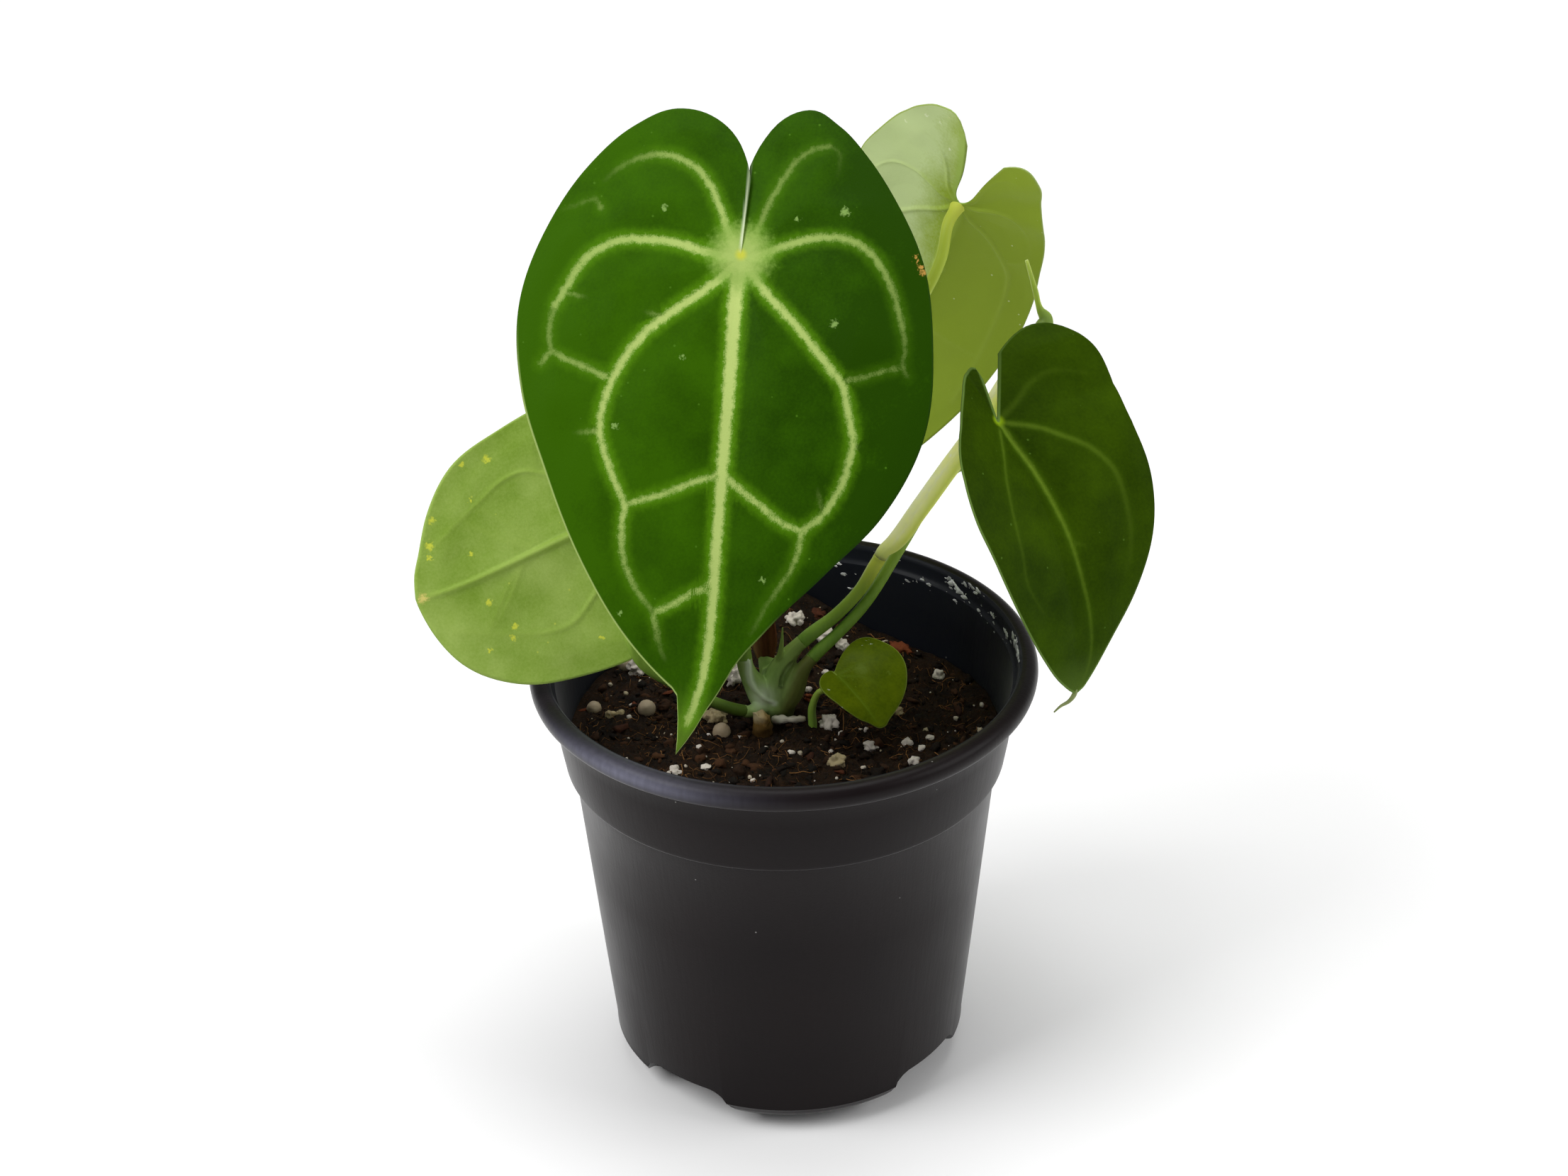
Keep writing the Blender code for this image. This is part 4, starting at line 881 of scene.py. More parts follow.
front = Leaf(
    join=(-7.2, 4.0, 192.1), tip_way=(-13.0, -47.6, -90.1), face=(-0.04, -0.88, 0.47),
    left=(102.7, 89.9, 86.8, 81.5, 71.1, 60, 52.9, 46.4, 40, 36.5, 35, 33.5, 29.5, 23.6, 18.2),
    right=(102.7, 93, 84.6, 76.8, 67.9, 60.9, 53.3, 43.5, 37.4, 33.5, 32.7, 33.4, 33.3, 28.2,
           22.5),
    length=103, bow=7.0, fold=0.10, cup=0.0026, rib=1.1, span=(180.6, 181.6), drift=-2.3,
    sinus=4.5)
back = Leaf(
    join=(40.0, 50.0, 183.0), tip_way=(-0.223, 0.315, -0.92), face=(0.42, 0.86, 0.22),
    left=(89.6, 86, 79.5, 69.4, 53.5, 38.3, 27.9, 21.6, 18.9, 18.1, 21.0, 20.9, 15, 10, 8),
    right=(89.6, 86.4, 82.2, 74.2, 61.6, 48.3, 37, 28.6, 24.9, 23.5, 24.6, 27.6, 29.2, 27.8,
           19.6),
    length=78, bow=5.0, fold=0.25, cup=0.004, lobe=0.1, wave=0.5, waves=9.0, rib=0.85,
    span=(157.0, 177.0), rounded=0.42)
left_leaf = Leaf(
    join=(-30.1, 0.5, 136.2), tip_way=(-0.928, -0.246, -0.286), face=(-0.10, 0.88, -0.42),
    left=(50.5, 50.6, 50.6, 50.5, 49.5, 45.1, 37.9, 31.5, 27, 24.5, 22.5, 20.5, 18, 14, 10),
    right=(50.5, 50, 49.2, 47.2, 44.4, 40.3, 33.7, 29, 26, 24, 22, 20, 17.5, 14, 10),
    length=50, bow=5.0, fold=0.15, cup=0.004, rib=0.8)
right_leaf = Leaf(
    join=(45.6, 3.0, 153.8), tip_way=(0.266, -0.374, -0.909), face=(0.52, -0.72, 0.46),
    left=(60.2, 58.7, 56.0, 50.8, 41.6, 32.3, 26.2, 19.6, 13.1, 10.4, 9.4, 9.3, 9.7, 10.2, 10.6),
    right=(60.2, 59.3, 56.6, 52.4, 46.6, 39.9, 32.8, 26.6, 25.8, 26.5, 23.9, 14.4, 9, 6, 5),
    length=60, bow=8.0, fold=0.40, cup=0.004, lobe=0.2, rib=0.75, span=(194.5, 149.0),
    beyond=((182.0, 10.9), (186.0, 11.6), (189.5, 12.0), (191.6, 11.8), (193.3, 10.9),
            (194.5, 9.2)))
small_leaf = Leaf(
    join=(11.4, -2.0, 95.4), tip_way=(0.615, -0.635, -0.52), face=(0.12, -0.55, 0.82),
    left=(15.3, 14.7, 13.2, 11.8, 9.1, 6.7, 5.4, 4.6, 4.1, 3.6, 3.0, 2.4, 2.0, 1.6, 1.3),
    right=(15.3, 15.5, 15.6, 15.2, 15.0, 15.2, 15.4, 15.4, 13.6, 11.0, 3.4, 1.4, 1.1, 1.1, 1.1),
    length=15, bow=1.0, fold=0.1, cup=0.01, one_side=0.45)

stalk_paint = skin_paint(
    "stalk_green", srgb(108, 146, 50), srgb(142, 178, 74), srgb(182, 200, 124), 120.0, 1300.0,
    330.0, 0.0, 0.25, (1.0, 1.0, 0.12),
    (("upward", srgb(170, 186, 58), 0.85), ("joint", srgb(206, 212, 84), 0.8),
     ("overshadowed", srgb(70, 92, 26), 0.85)))
for name, leaf, stations in (
        ("petiole_front", front, stalk_front), ("petiole_back", back, stalk_back),
        ("petiole_left", left_leaf, stalk_left), ("petiole_right", right_leaf, stalk_right),
        ("petiole_small", small_leaf, [
            (SMALL_X, SMALL_Y, 72.0, 1.0), (SMALL_X, SMALL_Y, 81.6, 0.95),
            (SMALL_X, 0.3, 85.9, 0.85), (7.6, 0.6, 89.4, 0.75)])):
    radius = stations[-1][3]
    joint = Vector(leaf.join)
    near = [(*(joint - leaf.square * drop), radius * swell) for drop, swell in
            ((leaf.knob + 3.3, 1.05), (leaf.knob + 0.3, 1.2), (1.5, 1.4))]
    body = tube(name + "_stalk", list(stations) + near, 16, 6)
    at = points_of(body.data)
    stored(body, "upward", np.clip((at[:, 2] - 100.0) / 70.0, 0, 1))
    stored(body, "joint", np.exp(-(np.linalg.norm(at - leaf.join, axis=1) / 7.0) ** 2))
    # Painted shadow: the left stalk is darker low down, where the front leaf shades it
    if leaf is left_leaf:
        stored(body, "overshadowed", np.clip((94.0 - at[:, 2]) / 5.0, 0, 1))
    finished(body, [stalk_paint], "stalk_green", name)

stalk_new, roll_start = parted(stalk_new, len(stalk_new) - 2, 1.2)
body = tube("petiole_new_stalk", stalk_new, 16, 6)
stored(body, "upward", np.clip((points_of(body.data)[:, 2] - 100.0) / 18.0, 0, 1))
stored(body, "joint", np.clip((points_of(body.data)[:, 2] - 110.0) / 7.0, 0, 1))
finished(body, [stalk_paint], "stalk_green", "petiole_new")


# Blades: thin velvety hearts with pale veins set into their upper side, and a pale matt
# underside on which the midrib and the main side veins stand proud

# Each vein: its width at the start and the end, how strongly it shows there, and its path in
# millimetres along the midrib and aside from it
FRONT_VEINS = (
    (2.9, 1.2, 1.0, 0.75, ((1.2, 0), (9.7, 0), (17.6, 0.4), (29.1, 0.9), (45.3, 1.4),
                           (60.3, 1.9), (73.7, 2.4), (85.1, 1.9), (95.7, 0.1))),
    (1.6, 1.0, 0.9, 0.75, ((2, -0.9), (6.3, -4.6), (12.5, -11.7), (17.9, -17.2),
                            (24.8, -21.4), (32.1, -23.8), (38.6, -24.1), (46.1, -21.2),
                            (52.9, -17.4))),
    (1.0, 0.6, 0.8, 0.25, ((52.9, -17.4), (58, -17.6), (62.4, -17), (68.8, -14.1), (74, -9.4))),
    (0.8, 0.5, 0.5, 0.02, ((74, -9.4), (76.7, -8.8), (80.5, -7.6), (83.7, -6))),
    (1.65, 1.1, 0.9, 0.5, ((0.7, -0.8), (0.1, -7.6), (-1, -13.4), (-1, -19), (-0.3, -24.6),
                           (3.8, -30.8), (10.7, -34.5), (14.6, -36.2))),
    (0.9, 0.6, 0.3, 0.25, ((14.6, -36.2), (17.7, -36.7), (21.1, -36.6), (23.9, -35.6))),
    (0.8, 0.9, 0.3, 0.5, ((26.4, -37.6), (23.9, -35.6), (24.8, -33.3), (26.4, -28),
                           (27.6, -24.2))),
    (1.3, 1.0, 0.8, 0.4, ((-0.4, -1.2), (-4.2, -3.1), (-9.1, -5.4), (-14, -8.3),
                          (-16.8, -11.2), (-18.7, -15.7), (-19, -19.7))),
    (1.0, 0.6, 0.32, 0.02, ((-19, -19.7), (-17.5, -23.5), (-15.4, -26.7), (-12.2, -29.6))),
    (0.6, 0.5, 0.22, 0.02, ((-6.4, -29.4), (-8.1, -30.8), (-6.8, -34), (-5.3, -37.2))),
    (0.95, 0.65, 0.34, 0.2, ((-0.4, 1.3), (-3, 2.1), (-11.3, 4.5), (-17.4, 7.1), (-21.2, 9.5),
                             (-23.6, 12.6), (-24.3, 15.4))),
    (0.5, 0.3, 0.12, 0.0, ((-24.3, 15.4), (-23.5, 17.2), (-20.9, 17.8), (-17.3, 17.3))),
    (1.5, 0.85, 0.7, 0.27, ((0.6, 0.9), (-0.3, 3.6), (-4, 11.6), (-5.4, 17.1), (-5.1, 22.2),
                            (-2.8, 26.4), (0.9, 29.6), (4.6, 31.7), (11.7, 34.3))),
    (0.55, 0.4, 0.22, 0.12, ((11.7, 34.3), (15.5, 35.2), (19.4, 35.3), (21, 36.3))),
    (0.5, 0.55, 0.18, 0.32, ((19.4, 35.3), (20, 32.9), (22.9, 25.4), (23.3, 23.5))),
    (1.45, 1.0, 0.84, 0.56, ((2.2, 1.4), (7.4, 6.2), (13.5, 13.1), (20.1, 19.5), (24.4, 23.6),
                            (29, 25.1), (36.3, 26.9), (40.8, 26.4), (46.6, 24.7),
                            (50.7, 22.4), (54.5, 18.6))),
    (0.8, 0.5, 0.6, 0.05, ((54.5, 18.6), (57.3, 18.6), (60.7, 17.9), (64.9, 16.1),
                           (69.1, 13.7), (76.2, 10.6))),
    (1.0, 0.8, 0.7, 0.7, ((45.1, 0.2), (46.3, -2.7), (49.5, -9.1), (52.9, -17.4))),
    (1.0, 0.8, 0.7, 0.6, ((67.7, 1.4), (68.8, -1.4), (72.3, -6.4), (74, -9.4))),
    (1.1, 0.8, 0.75, 0.7, ((45.7, 2.8), (50.4, 10.1), (53.2, 14.5), (54.5, 18.6))),
    (0.5, 0.3, 0.35, 0.02, ((14.2, -14.4), (13.8, -18.2))),
    (0.5, 0.3, 0.4, 0.02, ((11.6, -34.6), (12.2, -29.7))),
    (0.7, 0.3, 0.45, 0.02, ((38.6, -24.3), (39.7, -29.3))),
    (0.5, 0.3, 0.4, 0.02, ((36.2, 26.8), (36.4, 28.6))),
    (0.5, 0.3, 0.3, 0.02, ((50.5, 22.6), (45.5, 20.8))),
)
RIGHT_VEINS = (
    (0.7, 0.35, 1.0, 0.1, ((0.7, 0.0), (3.7, 0.3), (11.5, 1.4), (17.9, 2.1), (25.3, 2.95),
                           (30.4, 3.3), (36.7, 3.8), (45.1, 4.3), (54, 3.6), (59.5, 0.8))),
    (0.8, 1.1, 0.42, 0.0, ((1, 1.3), (3.5, 6.2), (6.6, 9.9), (11, 14.5), (17, 17.4),
                           (24, 17.8), (34, 16.5), (41, 13))),
    (0.5, 0.4, 0.4, 0.05, ((2, -1.2), (5.7, -3.4), (10.9, -6.9), (17.1, -9.1), (26.2, -10.5),
                           (33, -11), (40, -8))),
    (1.0, 0.8, 0.16, 0.04, ((-0.6, 1.5), (-2.9, 6), (-5.1, 9.3), (-6.4, 14.4), (-4, 21))),
    (0.5, 0.3, 0.25, 0.02, ((28.2, 3.2), (30, 6.5))),
)
SMALL_VEINS = (
    (0.5, 0.25, 0.4, 0.25, ((0.5, 0), (7, 0.3), (13.5, 0))),
    (0.35, 0.2, 0.3, 0.05, ((0.6, 0.4), (4.5, 4.5), (9, 6))),
    (0.35, 0.2, 0.3, 0.05, ((0.2, 0.6), (1, 6), (3.5, 10))),
)
LEFT_VEINS = (
    (1.8, 0.8, 1.0, 0.7, ((0.5, 0), (16.2, -0.4), (29.3, -1.1), (42.3, -1.2), (48.5, -0.6))),
    (0.9, 0.5, 0.8, 0.3, ((25.9, -1.0), (29.1, -4.5), (33.1, -8.5), (38, -12.6))),
    (0.9, 0.5, 0.5, 0.2, ((22, -0.5), (25, 5), (29, 10), (33, 13))),
)
BACK_VEINS = ((1.8, 0.7, 1.0, 0.6, ((0.6, 0), (20, 1.0), (42, 1.4), (60, 1.2), (82, 0.3))),)


def fan(leaf):
    """Side veins of a blade that the photograph shows only from below or hardly at all."""
    rows = []
    for way in (-1, 1):
        for wide, narrow, strong, weak, polar in (
                (1.3, 0.6, 0.8, 0.5, ((30, .03), (38, .14), (43, .33), (42, .52), (39, .66),
                                      (32, .72), (25, .76), (18, .83), (12, .92))),
                (1.3, 0.5, 0.8, 0.3, ((70, .03), (95, .18), (100, .34), (99, .5), (92, .68),
                                      (82, .77), (70, .83), (60, .85))),
                (1.0, 0.4, 0.6, 0.1, ((120, .05), (145, .18), (152, .33), (152, .56),
                                      (146, .72), (135, .82))),
                (0.8, 0.5, 0.6, 0.5, ((1, .48), (8, .6), (18, .83))),
                (0.7, 0.4, 0.5, 0.3, ((42, .6), (50, .74), (60, .85)))):
            degrees, share = np.array(polar, float).T
            rows.append((wide, narrow, strong, weak,
                         tuple(zip(*leaf.flat(way * degrees, share)))))
    return tuple(rows)


def vein_field(leaf, u, v, veins):
    """For each point: mm to the nearest vein's edge, that vein's strength, and rib height."""
    edge = np.full(u.shape, 40.0)
    strength = np.zeros(u.shape)
    rib = np.zeros(u.shape)
    for number, (wide, narrow, strong, weak, row) in enumerate(veins):
        path = smooth_path([(a, b, k / (len(row) - 1)) for k, (a, b) in enumerate(row)], 5, 2.0)
        for (u0, v0, k0), (u1, v1, k1) in zip(path, path[1:]):
            long2 = max((u1 - u0) ** 2 + (v1 - v0) ** 2, 1e-9)
            t = np.clip(((u - u0) * (u1 - u0) + (v - v0) * (v1 - v0)) / long2, 0, 1)
            off = np.hypot(u - u0 - t * (u1 - u0), v - v0 - t * (v1 - v0))
            k = k0 + t * (k1 - k0)
            half = 0.5 * (wide + (narrow - wide) * k)
            nearer = off - half < edge
            edge = np.where(nearer, off - half, edge)
            strength = np.where(nearer, strong + (weak - strong) * k, strength)
            if leaf.rib and wide > 0.5 * veins[0][0]:
                tall = (1.8 * leaf.rib * (1.0 if number == 0 else 0.5)) * (1.0 - 0.7 * k) - 0.3
                across = np.clip(1.0 - (off / (0.85 * tall + 0.5)) ** 2, 0, 1) ** 2
                rib = np.maximum(rib, np.maximum(tall, 0.0) * across)
    return edge, strength, rib


LOBE_LAP = 0.35


def blade(name, leaf, veins, rays, rings, fine_within, paints, quilt=0.5):
    """Blade with two sides, its veins drawn in as relief and kept as numbers at its points."""
    made = bmesh.new()
    bmesh.ops.create_grid(made, x_segments=2 * rays, y_segments=rings, size=1.0)

    def param(flat_xy):
        """Angle from the tip and share of the way to the edge, from a place on the grid."""
        s, share = flat_xy[:, 0], (0.5 * (flat_xy[:, 1] + 1.0)) ** 0.8
        span = np.where(s > 0, leaf.span[1], leaf.span[0])
        return np.copysign(span * (0.25 * np.abs(s) + 0.75 * np.abs(s) ** 1.4), s), share

    edges = list(made.edges)
    middles = np.array([((e.verts[0].co + e.verts[1].co) / 2)[:2] for e in edges])
    degrees, share = param(middles)
    near, _, _ = vein_field(leaf, *leaf.flat(degrees, share), veins)
    chosen = [e for e, gap in zip(edges, near) if gap < fine_within]
    bmesh.ops.subdivide_edges(made, edges=chosen, cuts=1, use_grid_fill=True)
    bmesh.ops.triangulate(made, faces=made.faces)
    flat_xy = np.array([vert.co[:2] for vert in made.verts])
    degrees, share = param(flat_xy)
    u, v = leaf.flat(degrees, share)
    lap = np.sign(degrees) * (LOBE_LAP if leaf.span[0] > 180 and leaf.sinus else 0.0)
    top = leaf.lay(u, v, leaf.height(u, v, share)
                   - lap * np.clip((np.abs(degrees) - 168.0) / 10.0, 0, 1) * np.minimum(1, share * 4))
    for vert, place_at in zip(made.verts, top):
        vert.co = place_at * MM
    bmesh.ops.remove_doubles(made, verts=made.verts, dist=0.000004)
    bmesh.ops.recalc_face_normals(made, faces=made.faces)
    some = max(made.faces, key=lambda f: f.calc_area())
    if some.normal.dot(Vector(leaf.normal)) < 0:
        bmesh.ops.reverse_faces(made, faces=made.faces)
    body = as_object(name, made)
    for paint in paints:
        body.data.materials.append(paint)

    at = points_of(body.data) - leaf.join
    u, bent = at @ leaf.way, at @ leaf.side
    v = bent - leaf.drift * np.maximum(0.0, (u / leaf.length - 0.86) / 0.14) ** 2
    degrees = np.degrees(np.arctan2(v, u))
    if leaf.span[0] > 183:
        degrees = np.where((degrees > leaf.span[1] + 0.5), degrees - 360, degrees)
    reach = leaf.reach(degrees)
    share = np.clip(np.hypot(u, v) / reach, 0, 1)
    edge, strength, rib = vein_field(leaf, u, v, veins)
    open_side = np.where(degrees > 0, leaf.span[1], leaf.span[0]) - np.abs(degrees)
    inner_edge = np.hypot(u, v) * np.sin(np.radians(np.clip(open_side, 0, 90)))
    margin = np.minimum((1.0 - share) * reach, inner_edge + 0.02)
    walls = body.modifiers.new("thickness", "SOLIDIFY")
    walls.thickness = 0.4 * MM
    walls.offset = -1.0
    walls.material_offset = 1
    walls.material_offset_rim = 0
    settled(body)
    count = len(u)
    everything = points_of(body.data)
    ease = np.clip(margin / 5.0, 0, 1)
    puffed = quilt * ease * (1.0 - np.exp(-(np.maximum(edge, 0) / 5.0) ** 2))
    sunk = 0.22 * np.clip(strength, 0, 1) * np.exp(-(np.maximum(edge + 0.4, 0) / 0.7) ** 2)
    ripple = np.array([noise.noise(Vector((a * 0.09, b * 0.09, len(name)))) for a, b in
                       zip(u, v)]) * 0.35 * ease
    lift = puffed - sunk * ease + ripple - 0.3 * quilt
    thick = 0.35 + 0.4 * np.clip(margin / 6.0, 0, 1)
    everything[:count] += lift[:, None] * leaf.normal
    everything[count:] = (everything[:count] - (thick + rib * np.clip(margin / 4.0, 0, 1))[:, None]
                          * leaf.normal)
    body.data.vertices.foreach_set("co", (everything * MM).ravel())
    body.data.update()
    stored(body, "leaf_at", np.tile(np.stack([u, v, np.zeros(count)], 1), (2, 1)), "FLOAT_VECTOR")
    for kept_name, values in (
            ("vein_edge", edge), ("vein_strength", strength), ("margin", margin),
            ("tip_fade", np.clip((u / leaf.length - 0.86) / 0.14, 0, 1)),
            ("curl", np.clip(2.6 - inner_edge, 0, 1) * (v > 0) * (u < 0)),
            ("sinus_edge", np.clip(1.3 - inner_edge / 0.6, 0, 1) * (v < 0)
             * np.clip(-u / 3.0, 0, 1))):
        stored(body, kept_name, np.tile(values, 2))
    return body, paints


def vein_group():
    """Pale core and greener glow of a vein with ragged edges, from the distance to its edge."""
    group, given, out = grouped(
        "vein_edges", {"Vector": ("At",), "Float": ("Edge", "Strength", "Ragged", "Glow Width")},
        {"Float": ("Core", "Glow")})
    broad = grain(group, given["At"], 0.7, 3.0, 0.6)
    fringe = grain(group, given["At"], 3.2, 3.0, 0.7)
    centred = computed(group, "SUBTRACT", computed(group, "ADD", broad, fringe), 1.0)
    swung = computed(group, "MULTIPLY_ADD", centred, given["Ragged"], given["Edge"])
    core = ranged(group, swung, 0.55, -0.5, kind="SMOOTHSTEP")
    glow = ranged(group, swung, given["Glow Width"], -0.4, kind="SMOOTHSTEP")
    fed(group, out, Core=computed(group, "MULTIPLY", core, given["Strength"], held=True),
        Glow=computed(group, "MULTIPLY", glow, given["Strength"], held=True))
    return group


vein_edges = vein_group()


def leaf_paint(name, low, high, vein, glow, rim, dot, roughness=0.5, ragged=0.6,
               glow_width=1.2, lean_side=0.0, star=0.0, centre=None, mottle=0.06, dots=0.35,
               rim_width=0.35, gloss=0.06, vein_share=1.0, flecks=(), lean_from=0.0,
               rim_side=0.0, rim_along=0.0, rim_start=0.0, extra=()):
    """One side of a blade: mottled skin, veins with a glow, a thin margin line and flecks.

    A fleck is its place along the midrib and aside from it, and its size, in millimetres.
    """
    made, tree, shader = surface(name, roughness, Specular_IOR_Level=gloss)
    at = add(tree, "ShaderNodeAttribute", attribute_name="leaf_at").outputs["Vector"]
    split = add(tree, "ShaderNodeSeparateXYZ", {"Vector": at}).outputs
    along, aside = split["X"], split["Y"]
    lean = computed(tree, "MULTIPLY_ADD", aside, lean_side, -lean_from * lean_side)
    skin = add(tree, "ShaderNodeGroup", {
        "At": at, "Low": low, "High": high, "Dot": dot, "Mottle": mottle, "Fine": 1.6,
        "Dots": dots, "Lean": lean}, node_tree=plant_skin).outputs
    shown = computed(tree, "MULTIPLY", kept(tree, "vein_strength"), vein_share)
    masks = add(tree, "ShaderNodeGroup", {
        "At": at, "Edge": kept(tree, "vein_edge"), "Strength": shown, "Ragged": ragged,
        "Glow Width": glow_width}, node_tree=vein_edges).outputs
    colour = blended(tree, masks["Glow"], skin["Color"], glow)
    colour = blended(tree, masks["Core"], colour, vein)
    out_from = add(tree, "ShaderNodeVectorMath", {0: at}, operation="LENGTH").outputs["Value"]
    if star:
        far = computed(tree, "MULTIPLY_ADD", grain(tree, at, 0.9, 4.0, 0.65), 5.0, out_from)
        for inner, outer, most, tone in ((2.5, 4.6, 0.75, glow), (0.6, 3.2, 0.6, vein)):
            fuzz = ranged(tree, far, star + outer, star + inner - 3.5, 0.0, most, "SMOOTHSTEP")
            colour = blended(tree, fuzz, colour, tone)
    if centre:
        colour = blended(tree, ranged(tree, out_from, 1.7, 0.3, kind="SMOOTHSTEP"), colour, centre)
    colour = shifted(tree, colour, extra)
    line = ranged(tree, kept(tree, "margin"), rim_width, rim_width * 0.4, kind="SMOOTHSTEP")
    sided = computed(tree, "MULTIPLY_ADD", aside, rim_side, 1.0, held=True)
    begun = computed(tree, "MULTIPLY_ADD", along, rim_along, 1.0 - rim_along * rim_start,
                     held=True)
    edged = computed(tree, "MULTIPLY", computed(tree, "MULTIPLY", line, sided), begun)
    colour = blended(tree, edged, colour, rim)
    torn = add(tree, "ShaderNodeTexNoise", {"Vector": at, "Scale": 1.6, "Detail": 3.0})
    moved = add(tree, "ShaderNodeVectorMath", {0: torn.outputs["Color"], 1: (2.4, 2.4, 0.0)},
                operation="MULTIPLY")
    placed = add(tree, "ShaderNodeVectorMath", {0: at, 1: moved.outputs[0]}, operation="ADD")
    for tone, rows in flecks:
        nearest = 9.0
        for u, v, size in rows:
            gap = add(tree, "ShaderNodeVectorMath", {0: placed.outputs[0],
                                                     1: (u + 1.2, v + 1.2, 0.0)},
                      operation="DISTANCE").outputs["Value"]
            nearest = computed(tree, "MINIMUM", nearest, computed(tree, "DIVIDE", gap, size))
        colour = blended(tree, ranged(tree, nearest, 1.2, 0.5, 0.0, 0.85), colour, tone)
    cells = add(tree, "ShaderNodeTexVoronoi", {"Vector": at, "Scale": 2.6})
    nap = computed(tree, "MULTIPLY_ADD", cells.outputs["Distance"], 0.5, skin["Height"])
    fed(tree, shader, Base_Color=colour, Normal=embossed(tree, nap, 0.25),
        Roughness=ranged(tree, skin["Height"], 0.6, 1.4, roughness - 0.06, roughness + 0.08))
    return made


UPPER_TONES = {"low": srgb(31, 62, 0), "high": srgb(49, 89, 0), "vein": srgb(176, 194, 112),
               "glow": srgb(84, 134, 12), "rim": srgb(150, 172, 96), "dot": srgb(66, 106, 22)}
# lean_side paints the front blade's left half lighter and its right half darker: painted shade of the
# half turned away from the light
velvet = leaf_paint(
    "leaf_velvet_upper", **UPPER_TONES, ragged=1.5, glow_width=2.5, lean_side=-0.012, star=7.4,
    centre=srgb(184, 188, 66), gloss=0.03, rim_side=-0.06, rim_width=0.55, rim_along=0.05,
    rim_start=38.0, flecks=(
        (srgb(128, 160, 84), ((-7.8, -16.5, 0.6), (12.1, 20.5, 0.8), (22.1, -9.1, 0.4),
                              (37.4, -21.1, 0.6), (-11.0, 20.0, 0.9), (-8.5, 10.5, 0.5),
                              (74.9, -16.0, 0.5), (65.0, 11.9, 0.5))),
        (srgb(192, 146, 72), ((-3.4, 35.2, 0.4), (-2.4, 35.7, 0.4), (-1.3, 36.4, 0.5),
                              (-0.3, 37.2, 0.6)))),
    extra=(("tip_fade", srgb(116, 150, 50), 0.55), ("sinus_edge", srgb(204, 214, 180), 1.0)))
back_upper = leaf_paint("leaf_back_upper", **UPPER_TONES, ragged=1.4, glow_width=1.6, star=4.0)
left_upper = leaf_paint("leaf_left_upper", **UPPER_TONES, ragged=1.4, glow_width=1.4, star=2.5)
under_front = leaf_paint(
    "leaf_pale_under", srgb(108, 142, 62), srgb(138, 168, 92), srgb(160, 186, 112),
    srgb(134, 164, 84), srgb(150, 176, 104), srgb(160, 180, 110))
olive_upper = leaf_paint(
    "leaf_olive_upper", srgb(29, 48, 0), srgb(52, 76, 1), srgb(104, 130, 36), srgb(62, 90, 6),
    srgb(96, 122, 56), srgb(70, 98, 30), 0.52, 0.5, 1.4, 0.004, centre=srgb(134, 164, 22),
    gloss=0.02, extra=(("tip_fade", srgb(82, 106, 40), 0.6),), rim_side=-0.05, rim_width=0.6)
right_under = leaf_paint(
    "leaf_right_under", srgb(96, 128, 50), srgb(124, 152, 74), srgb(150, 176, 96),
    srgb(122, 154, 68), srgb(130, 158, 84), srgb(150, 172, 96), vein_share=0.5)
left_under = leaf_paint(
    "leaf_left_under", srgb(118, 150, 44), srgb(160, 184, 92), srgb(160, 184, 86),
    srgb(138, 166, 62), srgb(146, 172, 84), srgb(176, 190, 80), 0.42, vein_share=0.25,
    gloss=0.1, flecks=(
        (srgb(212, 216, 72), (
            (25.5, 21.3, 0.8), (30.7, 22.2, 0.5), (31.9, 14.4, 0.5), (41.0, 13.8, 0.7),
            (43.6, 9.1, 0.9), (44.5, 6.8, 0.6), (36.2, 3.9, 0.5), (36.7, -6.7, 0.7),
            (33.5, -13.7, 0.7), (34.8, -15.7, 0.6), (40.4, -16.0, 0.5), (17.5, -23.1, 0.5))),
        (srgb(224, 208, 120), ((49.0, -0.5, 1.1),))))
back_under = leaf_paint(
    "leaf_back_under", srgb(146, 168, 54), srgb(192, 209, 148), srgb(176, 194, 96),
    srgb(160, 182, 78), srgb(150, 168, 84), srgb(196, 206, 140), lean_side=0.08, lean_from=6.0,
    vein_share=0.15, extra=(("curl", srgb(152, 178, 78), 0.9),), flecks=(
        (srgb(220, 228, 190), ((-19.5, 17.5, 0.4), (-21.5, 12.0, 0.5), (-22.0, 8.5, 0.35),
                               (-14.0, 17.0, 0.4), (-15.5, 5.0, 0.35))),))
# The near-white flecks on the small blade are painted glints of light
young = leaf_paint(
    "leaf_young_upper", srgb(78, 97, 0), srgb(106, 123, 6), srgb(116, 142, 34),
    srgb(90, 118, 20), srgb(136, 156, 62), srgb(116, 140, 40), 0.36, 0.3, 0.6, dots=0.6,
    mottle=0.2, rim_width=0.22, gloss=0.05, flecks=(
        (srgb(228, 232, 214), ((-2.7, 11.1, 0.18), (-1.5, 11.2, 0.22), (-2.4, 9.3, 0.14),
                               (1.6, -3.2, 0.18), (6.6, -3.6, 0.22))),
        (srgb(110, 130, 40), ((2.4, 4.8, 1.5), (6.5, 9.5, 0.5)))))
young_under = leaf_paint(
    "leaf_young_under", srgb(92, 118, 44), srgb(118, 142, 66), srgb(132, 156, 80),
    srgb(112, 138, 60), srgb(126, 148, 70), srgb(140, 160, 90), vein_share=0.5)

